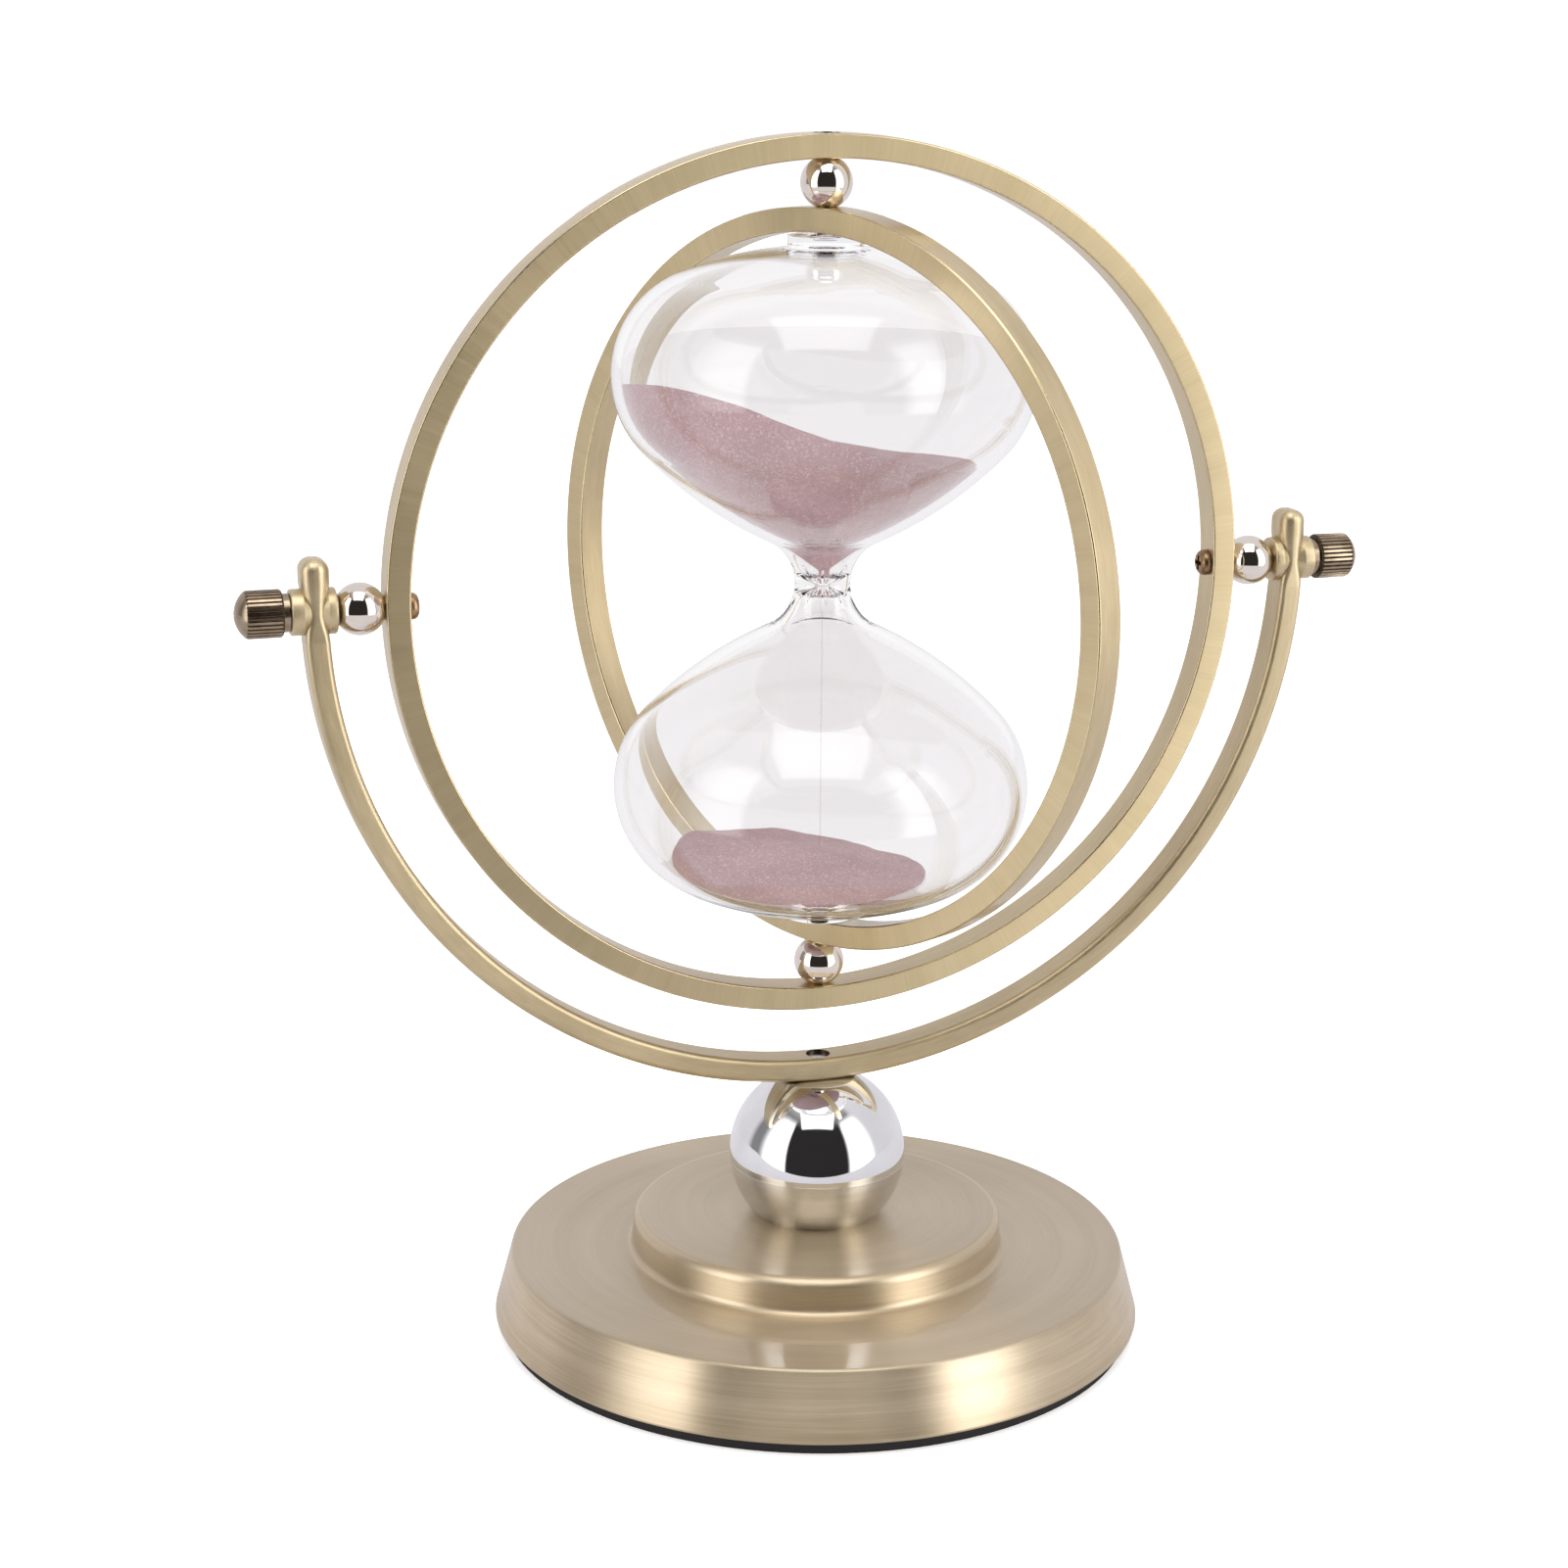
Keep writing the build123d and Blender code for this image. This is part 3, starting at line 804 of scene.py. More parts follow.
def base_skin(inset, lip):
    """Outline of the base from the bolt hole to the foot of the rim."""
    top = disc_top - inset
    ledge = rim_top - inset
    points = [
        (BOLT_BORE_R, top),
        (side_x(step_side, top, inset), top),
        (side_x(step_side, ledge, inset), ledge),
        (side_x(rim_side, ledge, inset), ledge),
        (side_x(rim_side, pad_top, inset), pad_top),
        (side_x(rim_side, pad_top, SHELL_T / 2), pad_top),
    ]
    disc_edge = max(DISC_EDGE - inset, INSIDE_EDGE)
    rim_edge = max(RIM_EDGE - inset, INSIDE_EDGE)
    return rounded(points, [disc_edge, DISC_FOOT + inset, rim_edge, lip], steps=12)


def build_base():
    """The pressed cover, closed along its inside."""
    inside = base_skin(SHELL_T, SHELL_T / 4)
    outline = base_skin(0, RIM_LIP) + inside[::-1]
    shell = lathe("base_cover", outline, closed=True, segments=HOOP_SEGMENTS)
    dress(shell, ledge_brass, "base_shell")
    ledge_z = rim_top * MM
    flank = sin(atan2(RIM_FLARE, RIM_H)) + FLANK_SPREAD
    paint(shell, rim_brass, lambda face: face.center.z < ledge_z and face.normal.z < flank)
    paint(shell, step_brass, lambda face: face.center.z >= ledge_z and face.normal.z < FLAT_COSINE)


def ball_outline(radius, low, high, bore, low_edge=0, high_edge=0, steps=48):
    """Section of a bored ball between two heights, with its edges eased."""
    low_r = sqrt(radius**2 - (low + low_edge) ** 2)
    high_r = sqrt(radius**2 - (high - high_edge) ** 2)
    bulge = arc((0, 0), (low_r, low + low_edge), (high_r, high - high_edge), steps)
    outline = [(bore, low), (low_r - low_edge, low)] + bulge
    return outline + [(high_r - high_edge, high), (bore, high)]


def build_stem():
    """The two halves of the large ball, with a fine groove at the seam."""
    centre_z = seat_z - sqrt(STEM_BALL_R**2 - STEM_SEAT_R**2)
    centre = (0, 0, centre_z)
    cup = ball_outline(STEM_BALL_R, disc_top - centre_z, seam_z - centre_z, BOLT_BORE_R, 0, SEAM_EDGE)
    ball = ball_outline(STEM_BALL_R, seam_z - centre_z, seat_z - centre_z, BOLT_BORE_R, SEAM_EDGE, 0)
    dress(lathe("stem_cup_skin", cup, "Z", centre, closed=True), cup_brass, "stem_cup")
    dress(lathe("stem_ball_skin", ball, "Z", centre, closed=True), chrome, "stem_ball")


def boss_outline(face, arm_face):
    """Section of a pivot boss from the arm's middle to its face."""
    root = [(0, yoke_middle), (BOSS_WAIST_R, yoke_middle)]
    points = root + [(BOSS_R, arm_face), (BOSS_R, face), (0, face)]
    return rounded(points, [BOSS_ROOT_EDGE, BOSS_FOOT_EDGE, BOSS_EDGE], steps=5)


def eased(share):
    """A share from 0 to 1 that starts and ends gently."""
    share = min(max(share, 0), 1)
    return share * share * (3 - 2 * share)


def lug_section(height):
    """Half the thickness, half the width and the corner radius of a lug at a height from the pivot."""
    foot = (YOKE_T / 2 - LUG_FOOT_INSET, YOKE_W / 2 - LUG_FOOT_INSET, YOKE_EDGE)
    waist = (LUG_WAIST_T / 2, LUG_WAIST_W / 2, LUG_WAIST_EDGE)
    head = (LUG_T / 2, LUG_W / 2, LUG_HEAD_EDGE)
    if height < 0:
        first, last, share = foot, waist, eased(1 + height / (LUG_FOOT - LUG_SUNK))
    else:
        first, last, share = waist, head, eased(height / LUG_HEAD_Z)
    into_round = min(max(height - (LUG_TOP - LUG_ROUND), 0) / LUG_ROUND, 1)
    drawn_in = LUG_ROUND * (1 - sqrt(1 - into_round**2))
    return [start + (end - start) * share - drawn_in for start, end in zip(first, last)]


def rounded_reach(angle, half_x, half_y, edge):
    """Distance from the middle of a rounded rectangle to its outline at an angle."""
    across = max(abs(cos(angle)), 1e-9)
    along = max(abs(sin(angle)), 1e-9)
    if half_x / across * along <= half_y - edge:
        return half_x / across
    if half_y / along * across <= half_x - edge:
        return half_y / along
    corner_x = half_x - edge
    corner_y = half_y - edge
    ahead = corner_x * across + corner_y * along
    return ahead + sqrt(max(ahead**2 - corner_x**2 - corner_y**2 + edge**2, 0))


def lug(side):
    """A lug: out of the strap along its curve, through a waist at the pivot, to a rounded head."""
    straight = LUG_TOP - LUG_ROUND + LUG_FOOT
    lower = [-LUG_FOOT + straight * step / 32 for step in range(32)]
    upper = [LUG_TOP - LUG_ROUND + LUG_ROUND * sin(pi / 2 * step / 16) for step in range(17)]
    heights = lower + upper
    outline = [(0, heights[0])] + [(1, height) for height in heights] + [(0, heights[-1])]

    def reach(angle, index, radius):
        """Distance from the lug's middle to its section."""
        return rounded_reach(angle, *lug_section(outline[index][1]))

    piece = lathe("lug", outline, "Z", (side * yoke_middle, 0, pivot_z), shape=reach, segments=192)
    for vertex in piece.data.vertices:
        below = max(pivot_z - vertex.co.z / MM, 0)
        vertex.co.x -= side * (yoke_middle - sqrt(yoke_middle**2 - below**2)) * MM
    return piece


def build_yoke():
    """The half-round strap with its lugs and bosses, bored at the pivots and at the bottom."""
    section = box_section(yoke_in, YOKE_T, YOKE_W, YOKE_EDGE)
    end_angle = asin((LUG_FOOT - LUG_SUNK) / yoke_middle)
    yoke = lathe("yoke_strap", section, "Y", hub, closed=True, arc_of=(end_angle, pi - end_angle))
    for side, turn in zip((1, -1), OPPOSITE):
        combine(yoke, lug(side), "UNION")
        for face, arm_face in ((boss_in, yoke_in), (boss_out, yoke_out)):
            boss = on_axis("boss", boss_outline(face, arm_face), "X", turn, segments=96)
            combine(yoke, boss, "UNION")
        drill(yoke, rod(BORE_R, boss_in - CUT_OVER, boss_out + CUT_OVER), "X", turn)
    bolt_hole = rod(BOLT_BORE_R, seat_z - CUT_OVER, seat_z + BOLT_BORE_REACH)
    combine(yoke, lathe("cutter", bolt_hole, segments=CUTTER_SEGMENTS), "DIFFERENCE")
    dress(yoke, yoke_brass, "yoke")
    lug_z = pivot.z - LUG_FOOT * MM
    hole_r = BOLT_BORE_SHARE * BOLT_BORE_R * MM
    paint(yoke, lug_brass, lambda face: face.center.z > lug_z or abs(face.normal.y) > EDGE_COSINE)
    # The walls of the bolt hole get painted shade
    paint(yoke, painted_recess_shade, lambda face: hypot(face.center.x, face.center.y) < hole_r)


# The rings


def hoop(name, inner, thickness, width):
    """A flat hoop about the pivot, with eased edges."""
    section = box_section(inner, thickness, width, RING_EDGE)
    return lathe(name, section, "Y", hub, closed=True, segments=HOOP_SEGMENTS)


def build_outer_ring():
    """The outer hoop, bored at the pivots and countersunk at the poles."""
    ring = hoop("outer_hoop", outer_ring_in, OUTER_RING_T, outer_ring_w)
    low = outer_ring_in - CUT_OVER
    high = outer_ring_out + CUT_OVER
    mouth_r = FLUSH_HEAD_R + FACE_GAP
    seat = [(0, low), (BORE_R, low), (BORE_R, flush_neck), (mouth_r, flush_top), (mouth_r, high), (0, high)]
    for turn in OPPOSITE:
        drill(ring, seat, "Z", turn)
        drill(ring, rod(BORE_R, low, high), "X", turn)
    dress(ring, strap_brass, "outer_ring")
    finish_hoop(ring, Vector((0, 1, 0)))


def build_inner_ring():
    """The inner hoop, at its swivel, bored for the axis screws."""
    ring = hoop("inner_hoop", inner_ring_in, INNER_RING_T, INNER_RING_W)
    for turn in OPPOSITE:
        drill(ring, rod(BORE_R, inner_ring_in - CUT_OVER, inner_ring_out + CUT_OVER), "Z", turn)
    move(ring, about_pivot(degrees(swivel), "Z"))
    dress(ring, strap_brass, "inner_ring")
    finish_hoop(ring, Matrix.Rotation(swivel, 3, "Z") @ Vector((0, 1, 0)))


def build_spacer_balls():
    """The four polished balls that part the rings and the yoke."""
    half_axis = (outer_ring_in - inner_ring_out) / 2 - FACE_GAP
    half_pivot = (boss_in - outer_ring_out) / 2 - FACE_GAP
    axis_reach = (outer_ring_in + inner_ring_out) / 2
    pivot_reach = (boss_in + outer_ring_out) / 2
    balls = (
        ("axis_ball_top", "Z", (0, 0, pivot_z + axis_reach), half_axis),
        ("axis_ball_bottom", "Z", (0, 0, pivot_z - axis_reach), half_axis),
        ("pivot_ball_right", "X", (pivot_reach, 0, pivot_z), half_pivot),
        ("pivot_ball_left", "X", (-pivot_reach, 0, pivot_z), half_pivot),
    )
    for node, axis, centre, half in balls:
        outline = ball_outline(SPACER_BALL_R, -half, half, BORE_R, SPACER_BALL_EDGE, SPACER_BALL_EDGE)
        ball = lathe(node + "_skin", outline, axis, centre, closed=True, segments=128)
        dress(ball, pale_brass, node)


def cross_recess(top):
    """The crossed slots of a driver recess in a top face, on Z."""
    height = RECESS_DEPTH + CUT_OVER
    centre = (0, 0, top - RECESS_DEPTH + height / 2)
    slot = block("slot", (RECESS_SPAN, RECESS_W, height), centre)
    return combine(slot, block("slot", (RECESS_W, RECESS_SPAN, height), centre), "UNION")


def screw_pair(name, outline, centre, places):
    """Two screws with crossed recesses in their tops, each moved to its place, as one object."""
    form = bmesh.new()
    for place in places:
        screw = lathe("screw", outline, "Z", centre, segments=64)
        combine(screw, cross_recess(centre[2] + outline[-1][1]), "DIFFERENCE")
        form.from_mesh(move(screw, place).data)
        bpy.data.objects.remove(screw)
    return new_piece(name, form)


def build_pivot_screws():
    """The pan-head screws inside the outer ring."""
    seat = sqrt(outer_ring_in**2 - PAN_HEAD_R**2) - FACE_GAP
    corners = [(SCREW_R, 0), (PAN_HEAD_R, 0), (PAN_HEAD_R, PAN_HEAD_H), (0, PAN_HEAD_H)]
    head = rounded(corners, [PAN_HEAD_EDGE, PAN_HEAD_ROUND])
    outline = [(0, -PAN_SCREW_LENGTH), (SCREW_R, -PAN_SCREW_LENGTH)] + head
    place = Matrix.Translation(Vector((seat * MM, 0, pivot.z))) @ Matrix.Rotation(-pi / 2, 4, "Y")
    places = [about_pivot(turn, "Z") @ place for turn in OPPOSITE]
    dress(screw_pair("pivot_screw_pair", outline, (0, 0, 0), places), dark_brass, "pivot_screws")


def build_axis_screws():
    """The flush screws through ring, ball and ring, with their tips inside the inner ring."""
    outline = [
        (0, axis_tip),
        (SCREW_R - AXIS_SCREW_TIP, axis_tip),
        (SCREW_R, axis_tip + AXIS_SCREW_TIP),
        (SCREW_R, flush_neck),
        (FLUSH_HEAD_R, flush_top),
        (0, flush_top),
    ]
    places = [about_pivot(turn, "Y") for turn in OPPOSITE]
    dress(screw_pair("axis_screw_pair", outline, hub, places), black_steel, "axis_screws")


def thumb_screw_outline():
    """Outline of a thumb screw from its tip to its domed end, and the run of points that is fluted."""
    grip_low = COLLAR_L
    grip_high = grip_low + GRIP_L
    top = grip_high + DOME_H
    shank_end = boss_in - boss_out - THUMB_SCREW_REACH
    dome_r = (GRIP_R**2 + DOME_H**2) / (2 * DOME_H)
    dome_start = (GRIP_R - GRIP_EDGE / 2, grip_high + DOME_LIFT)
    dome = arc((0, top - dome_r), dome_start, (DIMPLE_R, top - DIMPLE_LIP), steps=14)
    smooth = [
        (0, shank_end),
        (SCREW_R, shank_end),
        (SCREW_R, 0),
        (COLLAR_R - COLLAR_EDGE, 0),
        (COLLAR_R, COLLAR_EDGE),
        (COLLAR_R, grip_low),
        (GRIP_R - GRIP_EDGE, grip_low),
    ]
    fluted = [(GRIP_R, grip_low + GRIP_EDGE), (GRIP_R, grip_high - GRIP_EDGE)]
    dimple = [(DIMPLE_R * 0.7, top - DIMPLE_DEPTH * 0.8), (0, top - DIMPLE_DEPTH)]
    return smooth + fluted + dome + dimple, range(len(smooth), len(smooth) + len(fluted))


def build_thumb_screws():
    """The fluted thumb screws: ridges, grooves with painted shade in their bottoms, and a domed end."""
    outline, fluted = thumb_screw_outline()

    def flute(angle, index, radius):
        """Radius at an angle, cut by round grooves along the grip."""
        if index not in fluted:
            return radius
        from_groove = abs((FLUTE_COUNT * angle / (2 * pi)) % 1 - 0.5) / (FLUTE_SHARE / 2)
        return radius - FLUTE_DEPTH * sqrt(max(0, 1 - from_groove**2))

    centre = (boss_out + FACE_GAP, 0, pivot_z)
    for node, turn in zip(("thumb_screw_right", "thumb_screw_left"), OPPOSITE):
        screw = lathe(node + "_skin", outline, "X", centre, shape=flute, segments=16 * FLUTE_COUNT)
        move(screw, about_pivot(turn, "Z"))
        dress(screw, thumb_brass, node)
        # The bottoms of the flutes get painted shade
        paint(screw, painted_recess_shade, in_groove)


def in_groove(face):
    """Whether a face of a thumb screw lies in the bottom of a flute."""
    along = abs(face.center.x) / MM - boss_out - COLLAR_L
    reach = hypot(face.center.y, face.center.z - pivot.z) / MM
    return 0 < along < GRIP_L and reach < GRIP_R - GROOVE_SHARE * FLUTE_DEPTH


# The glass and what it holds


def plug_r(height, gap):
    """Radius of the tapered plug at a height near the upper pole."""
    return PLUG_R + gap - (PLUG_R - PLUG_TIP_R) * (pole_z - height) / PLUG_LENGTH


def inner_outline(gap):
    """Half of the outline of the glass's hollow, set in by a gap, before the neck is pinched."""
    inset = GLASS_WALL + gap
    return bulb_outline(NECK_R - inset, NECK_FLARE_R + inset, inset)


def pinched(radius, height, fold):
    """Radius of the hollow at a height, drawn in at the neck. Fold runs from 0 to 1 round the neck."""
    pinch = exp(-((height / PINCH_HEIGHT) ** 2))
    reach = min(abs(height) / FOLD_REACH, 1)
    crease = FOLD_DEPTH * 4 * reach * (1 - reach)
    return radius + (ORIFICE_R - radius) * pinch - crease * fold


def build_glass():
    """The blown glass: outer skin, inner skin with folds at the neck, and a hole at each pole."""
    outer = bulb_outline(NECK_R, NECK_FLARE_R, 0) + [(plug_r(pole_z, FACE_GAP), pole_z)]
    inner_pole = pole_z - GLASS_WALL
    inner = inner_outline(0) + [(plug_r(inner_pole, FACE_GAP), inner_pole)]
    outer_all = turned_over(outer)[:0:-1] + outer
    inner_all = turned_over(inner)[:0:-1] + inner
    outline = outer_all + inner_all[::-1]
    folded_from = len(outer_all)

    def fold(angle, index, radius):
        """Radius at an angle, drawn into folds inside the neck."""
        if index < folded_from:
            return radius
        ridge = max(0, cos(FOLD_COUNT * angle)) ** 2
        return pinched(radius, outline[index][1], ridge)

    glass = lathe("blown_glass", outline, "Z", hub, closed=True, shape=fold)
    let_light_through(dress(glass, clear_glass, "glass"))


def let_light_through(piece):
    """Keeps a clear piece from shading what is behind it."""
    piece.visible_shadow = False
    piece.visible_diffuse = False


def build_glass_pads():
    """The clear pads with their plugs, bedded on the inner ring."""
    foot = pole_z + FACE_GAP
    recess_r = SCREW_R + TIP_RECESS_GAP
    recess_floor = axis_tip - TIP_RECESS_GAP
    outline = [
        (0, pole_z - PLUG_LENGTH),
        (PLUG_TIP_R, pole_z - PLUG_LENGTH),
        (PLUG_R, foot),
        (GLASS_PAD_R - GLASS_PAD_EDGE, foot),
        (GLASS_PAD_R, foot + GLASS_PAD_EDGE),
        (GLASS_PAD_R, sqrt(inner_ring_in**2 - GLASS_PAD_R**2) - GLASS_PAD_BED),
        (recess_r, inner_ring_in - GLASS_PAD_BED),
        (recess_r, recess_floor),
        (0, recess_floor),
    ]
    for node, turn in zip(("glass_pad_top", "glass_pad_bottom"), OPPOSITE):
        pad = on_axis(node + "_skin", outline, "Z", turn, segments=96)
        let_light_through(dress(pad, clear_pad, node))


def ripple(x, y, size, depth):
    """A gentle unevenness of the sand's surface, in millimetres."""
    return depth * noise.noise(Vector((x / size, y / size, RIPPLE_SLICE)))


def along_run(x, y):
    """A place as distances along the sand's heading and across it."""
    heading = radians(SAND_HEADING)
    return x * cos(heading) + y * sin(heading), y * cos(heading) - x * sin(heading)


def upper_surface(x, y):
    """Height of the sand in the upper bulb: a shelf, a slope and a flatter foot."""
    run, back = along_run(x, y)
    slope = SHELF_FALL * run + SLOPE_DROP * tanh((run - SLOPE_MIDDLE) / SLOPE_REACH)
    back_fall = (SAND_BACK_FALL - SAND_TWIST * run) * back
    return SAND_LEVEL - slope - back_fall + ripple(x, y, *UPPER_RIPPLE) + ripple(x, y, *FINE_RIPPLE)


def heap_surface(x, y):
    """Height of the heap in the lower bulb: a low plateau on one side and a slope on the other."""
    run, back = along_run(x, y)
    from_peak = run - HEAP_PEAK
    fall = HEAP_SIDE_FALL if from_peak > 0 else HEAP_SHELF_FALL
    slope = fall * (hypot(from_peak, HEAP_ROUND) - HEAP_ROUND)
    slope += HEAP_DROP * max(0, -from_peak - HEAP_PLATEAU) ** 2
    back_fall = (back - HEAP_RIDGE) ** 2 / HEAP_SPREAD
    return HEAP_TOP_Z - slope - back_fall + ripple(x, y, *HEAP_RIPPLE) + ripple(x, y, *FINE_RIPPLE)


def sand_body(name, wall, surface, rows=40, columns=240):
    """Sand on a wall outline that starts at the axis, up to where the wall meets the surface."""
    lower = [[] for _ in range(rows + 1)]
    upper = [[] for _ in range(rows)]
    for column in range(columns):
        angle = 2 * pi * column / columns
        path = contact_path(wall, surface, angle)
        for row in range(rows + 1):
            radius, height = along_path(path, row / rows)
            lower[row].append(sand_point(radius, angle, height))
        for row in range(rows):
            radius = path[-1][0] * (1 - (row + 1) / (rows + 1))
            height = surface(radius * cos(angle), radius * sin(angle))
            upper[row].append(sand_point(radius, angle, height))
    bottom = [sand_point(0, 0, wall[0][1])]
    top = [sand_point(0, 0, surface(0, 0))]
    grid = [bottom, *lower, *upper, top]
    return skin(name, grid, range(len(grid)), columns)


def sand_point(radius, angle, height):
    """A point of the sand in metres."""
    return Vector((radius * cos(angle), radius * sin(angle), pivot_z + height)) * MM


def contact_path(wall, surface, angle):
    """The wall outline from the axis to where it meets the surface at an angle."""
    path = [wall[0]]
    for before, after in zip(wall, wall[1:]):
        drop_before = surface(before[0] * cos(angle), before[0] * sin(angle)) - before[1]
        drop_after = surface(after[0] * cos(angle), after[0] * sin(angle)) - after[1]
        if drop_after <= 0:
            share = drop_before / (drop_before - drop_after)
            path.append(tuple(a + (b - a) * share for a, b in zip(before, after)))
            return path
        path.append(after)
    return path


def along_path(path, share):
    """The point at a share of an outline's length."""
    steps = steps_of(path)
    left = share * sum(steps)
    for (a, b), step in zip(zip(path, path[1:]), steps):
        if left <= step:
            part = left / step if step else 0
            return a[0] + (b[0] - a[0]) * part, a[1] + (b[1] - a[1]) * part
        left -= step
    return path[-1]


def neck_r(radius, height):
    """Radius of the sand near the neck, where it runs clear of the glass."""
    return max(SAND_TIP_R, radius - SAND_NECK_GAP * exp(-((height / SAND_NECK_REACH) ** 2)))


def build_sand():
    """The sand above, the heap below and the thread that falls between them."""
    wall = [(pinched(radius, height, 1) - SAND_GAP, height) for radius, height in inner_outline(SAND_GAP)]
    above_tip = [(neck_r(*point), point[1]) for point in wall if point[1] > SAND_TIP_Z]
    funnel = [(SAND_TIP_R, SAND_TIP_Z)] + above_tip
    dress(sand_body("sand_above", funnel, upper_surface, rows=60), rose_sand, "sand_upper")
    floor_z = -(pole_z - PLUG_LENGTH) + SAND_GAP
    plug_tip = [(HEAP_MIDDLE_R, floor_z), (PLUG_TIP_R + SAND_GAP, floor_z)]
    bowl = plug_tip + turned_over(wall)[::-1]
    dress(sand_body("sand_heap", bowl, heap_surface), rose_sand, "sand_lower")
    foot = heap_surface(0, 0) - STREAM_SUNK
    outline = [(0, SAND_TIP_Z), (STREAM_R, SAND_TIP_Z), (STREAM_NARROW_R, STREAM_NARROW_Z)]
    outline += [(STREAM_FOOT_R, foot), (0, foot)]
    thread = lathe("sand_thread", outline, "Z", hub, segments=24)
    dress(thread, falling_sand, "sand_stream")


def dress_hidden_nodes():
    """Finishes for the solids that stay as they are."""
    finishes = {"base_pad": black_rubber, "base_weight": iron, "tie_bolt": steel, "tie_washer": steel}
    for node, material in finishes.items():
        piece = frame["nodes"][node]
        piece.data.materials.clear()
        piece.data.materials.append(material)


# The studio

CAMERA_AZIMUTH = 17.42
CAMERA_ELEVATION = 14.96
CAMERA_DISTANCE = 0.5328
CAMERA_LENS = 73.5
CAMERA_ROLL = 0.4
AIM_ACROSS = -0.00608
AIM_HEIGHT = 0.09496
RIGHT_LAMP = 3.8
LEFT_LAMP = 3.0
TOP_LAMP = 3.0
SOFTBOX_DISTANCE = 0.9
SIDE_WALL = 0.3
CEILING = 0.6
FLOOR_FRONT = 0.13
FLOOR_SIDE = 1.6
FLOOR_BACK = 2.2
FLOOR_GLOW = 0.4

# Where the mirrored walls start and are full, in degrees from the camera or the horizon
RIGHT_WALL_TURNS = (60, 88)
LEFT_SIDE_TURNS = (-58, -80)
LEFT_WALL_TURNS = (-90, -108)
CEILING_RISES = (44, 66)
GROUND_RISES = (-15, -19)

# Where the mirrored lamps start, are full, fade and end, in the same degrees
RIGHT_LAMP_TURNS = (39, 51, 60, 86)
LEFT_LAMP_TURNS = (-40, -46, -58, -86)
SIDE_LAMP_RISES = (-19, -15, 38, 56)
TOP_LAMP_RISES = (47, 52, 84, 94)
TOP_LAMP_SIDES = (0.36, 0.3)


def camera_frame():
    """Directions to the camera's place and to its right."""
    turn = radians(CAMERA_AZIMUTH)
    rise = radians(CAMERA_ELEVATION)
    back = Vector((-sin(turn) * cos(rise), -cos(turn) * cos(rise), sin(rise)))
    right = Vector((cos(turn), -sin(turn), 0))
    return back, right


def build_camera():
    """The camera at the photograph's viewing angle."""
    back, right = camera_frame()
    aim = right * AIM_ACROSS + Vector((0, 0, AIM_HEIGHT))
    data = bpy.data.cameras.new("camera")
    data.sensor_width = 36.0
    data.lens = CAMERA_LENS
    camera = linked("camera", data)
    look = (-back).to_track_quat("-Z", "Y").to_matrix().to_4x4()
    roll = Matrix.Rotation(radians(CAMERA_ROLL), 4, "Z")
    camera.matrix_world = Matrix.Translation(aim + back * CAMERA_DISTANCE) @ look @ roll
    bpy.context.scene.camera = camera


def build_floor():
    """A plain pale sheet under the object, which ends a little in front of it."""
    back, right = camera_frame()
    ahead = Vector((-back.x, -back.y, 0)).normalized()
    corners = []
    for side, depth in ((-1, -FLOOR_FRONT), (1, -FLOOR_FRONT), (1, FLOOR_BACK), (-1, FLOOR_BACK)):
        corners.append(right * side * FLOOR_SIDE + ahead * depth)
    mesh = bpy.data.meshes.new("floor")
    mesh.from_pydata([tuple(corner) for corner in corners], [], [(0, 1, 2, 3)])
    floor = linked("floor", mesh)
    nodes = material_nodes("floor_paper")
    fibre = nodes.noise(nodes.place(), scale=300.0)
    paper = nodes.mix(fibre, colour(0.92, 0.92, 0.92), colour(0.94, 0.94, 0.94))
    # Seen through the glass the paper is painted darker, and in reflections darker and cooler: painted
    # shade
    through = nodes.add("ShaderNodeLightPath").outputs["Is Transmission Ray"]
    paper = nodes.mix(through, paper, colour(0.755, 0.75, 0.755))
    paper = nodes.mix(nodes.mirrored(), paper, colour(0.66, 0.65, 0.68))
    seen = nodes.add("ShaderNodeLightPath").outputs["Is Camera Ray"]
    glow = nodes.scaled(seen, 0.0, FLOOR_GLOW)
    nodes.set(Base_Color=paper, Roughness=0.9, Specular_IOR_Level=0.0)
    nodes.set(Emission_Color=colour(1, 1, 1), Emission_Strength=glow)
    mesh.materials.append(nodes.owner)


def softbox(name, azimuth, elevation, width, height, radiance):
    """A soft light aimed at the pivot, seen from the object in a direction from the camera's."""
    turn = radians(azimuth - CAMERA_AZIMUTH)
    rise = radians(elevation)
    away = Vector((sin(turn) * cos(rise), -cos(turn) * cos(rise), sin(rise)))
    data = bpy.data.lights.new(name, "AREA")
    data.shape = "RECTANGLE"
    data.size = width
    data.size_y = height
    data.energy = radiance * pi * width * height
    light = linked(name, data)
    light.location = pivot + away * SOFTBOX_DISTANCE
    light.rotation_mode = "QUATERNION"
    light.rotation_quaternion = (-away).to_track_quat("-Z", "Y")
    light.visible_camera = False
    light.visible_glossy = False


def build_world():
    """Pale surroundings, with the studio that the metal and the glass mirror."""
    world = bpy.data.worlds.new("studio")
    bpy.context.scene.world = world
    nodes = Nodes(world, "Background")
    world.cycles.sampling_method = "NONE"
    lit = nodes.add("ShaderNodeLightPath").outputs["Is Diffuse Ray"]
    plain = nodes.mix(lit, colour(1.03, 1.03, 1.03), colour(1.2, 1.2, 1.2))
    room = nodes.mix(nodes.mirrored(), plain, mirrored_room(nodes))
    nodes.set(Color=room, Strength=1.0)


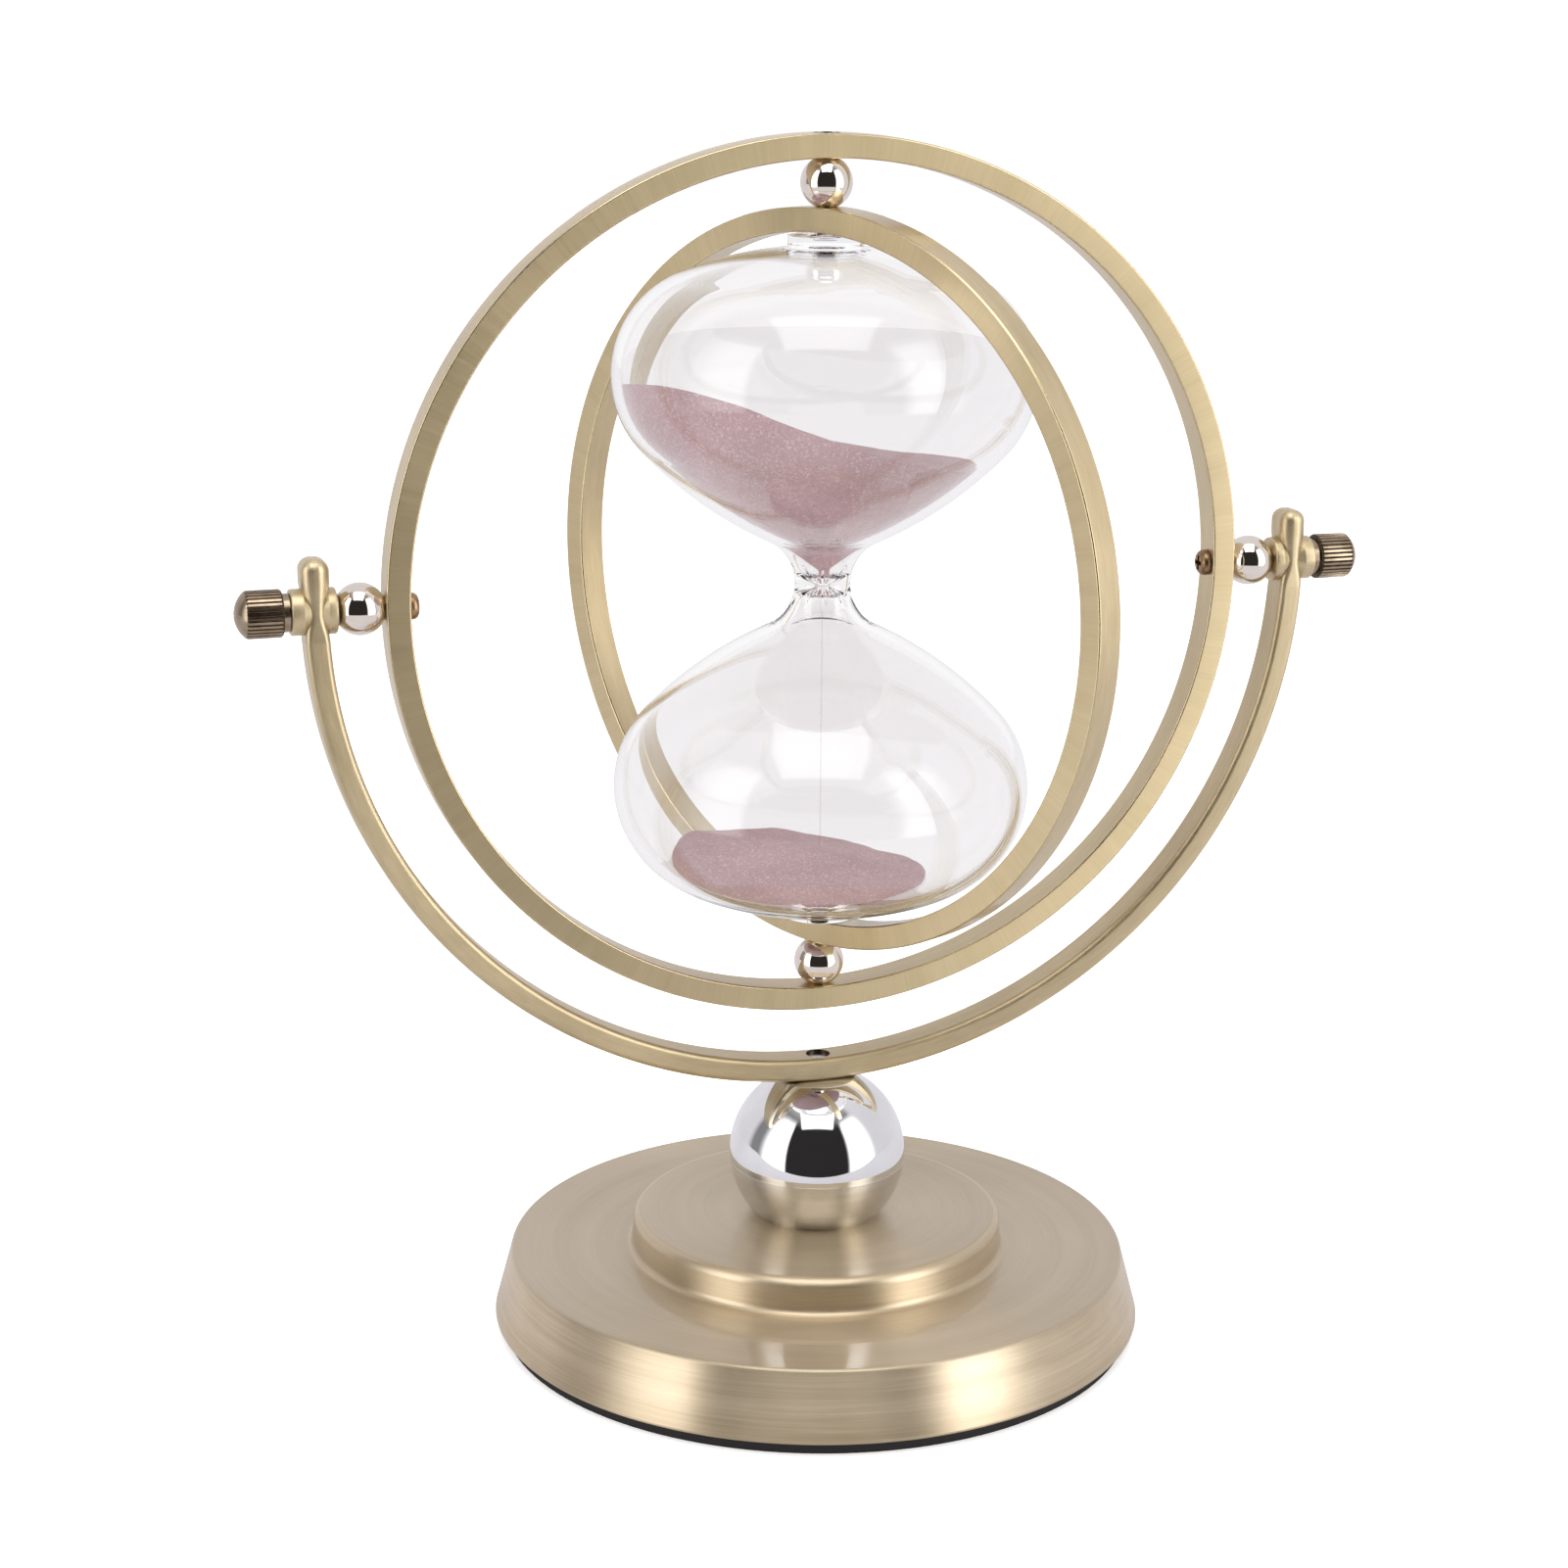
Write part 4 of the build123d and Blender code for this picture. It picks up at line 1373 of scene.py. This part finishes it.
def mirrored_room(nodes):
    """The room in reflections: dark about the camera, a softbox each side and one above, pale behind."""
    back, right = camera_frame()
    towards = Vector((back.x, back.y, 0)).normalized()
    direction = nodes.add("ShaderNodeTexCoord").outputs["Generated"]
    across = nodes.towards(direction, right)
    ahead = nodes.towards(direction, towards)
    height = nodes.add("ShaderNodeSeparateXYZ", {0: direction}).outputs[2]
    turn = nodes.math("ARCTAN2", across, ahead)
    rise = nodes.math("ARCSINE", height)
    rise_ahead = nodes.math("ARCTAN2", height, ahead)
    right_wall = nodes.ease(turn, *RIGHT_WALL_TURNS)
    left_side = nodes.times(nodes.ease(turn, *LEFT_SIDE_TURNS), SIDE_WALL)
    left_wall = nodes.most(left_side, nodes.ease(turn, *LEFT_WALL_TURNS))
    ceiling = nodes.times(nodes.ease(rise, *CEILING_RISES), CEILING)
    ground = nodes.ease(rise, *GROUND_RISES)
    pale = nodes.most(nodes.most(right_wall, left_wall), nodes.most(ceiling, ground))
    pale = nodes.mix(pale, colour(0.03, 0.027, 0.027), colour(0.82, 0.805, 0.83))
    right_lamp = nodes.times(nodes.band(turn, *RIGHT_LAMP_TURNS), RIGHT_LAMP)
    left_lamp = nodes.times(nodes.band(turn, *LEFT_LAMP_TURNS), LEFT_LAMP)
    sides = nodes.times(nodes.most(right_lamp, left_lamp), nodes.band(rise, *SIDE_LAMP_RISES))
    above = nodes.times(nodes.band(rise_ahead, *TOP_LAMP_RISES), TOP_LAMP)
    above = nodes.times(above, nodes.smooth(nodes.math("ABSOLUTE", across), *TOP_LAMP_SIDES))
    lamps = nodes.most(sides, above)
    lamps = nodes.add("ShaderNodeCombineXYZ", {0: lamps, 1: lamps, 2: lamps}).outputs[0]
    return nodes.add("ShaderNodeVectorMath", {0: pale, 1: lamps}, operation="ADD").outputs[0]


def build_lights():
    """Two large softboxes beside the camera and a smaller one above it."""
    softbox("softbox_left", azimuth=-60, elevation=30, width=0.6, height=0.6, radiance=0.5)
    softbox("softbox_right", azimuth=60, elevation=30, width=0.6, height=0.6, radiance=0.4)
    softbox("softbox_top", azimuth=-4, elevation=65, width=0.5, height=0.4, radiance=0.6)


build_base()
build_stem()
build_yoke()
build_outer_ring()
build_inner_ring()
build_spacer_balls()
build_pivot_screws()
build_axis_screws()
build_thumb_screws()
build_glass()
build_glass_pads()
build_sand()
dress_hidden_nodes()
build_camera()
build_floor()
build_world()
build_lights()
bpy.context.scene.view_settings.view_transform = "Standard"
bpy.context.scene.cycles.max_bounces = 32
bpy.context.scene.cycles.glossy_bounces = 24
bpy.context.scene.cycles.transmission_bounces = 24
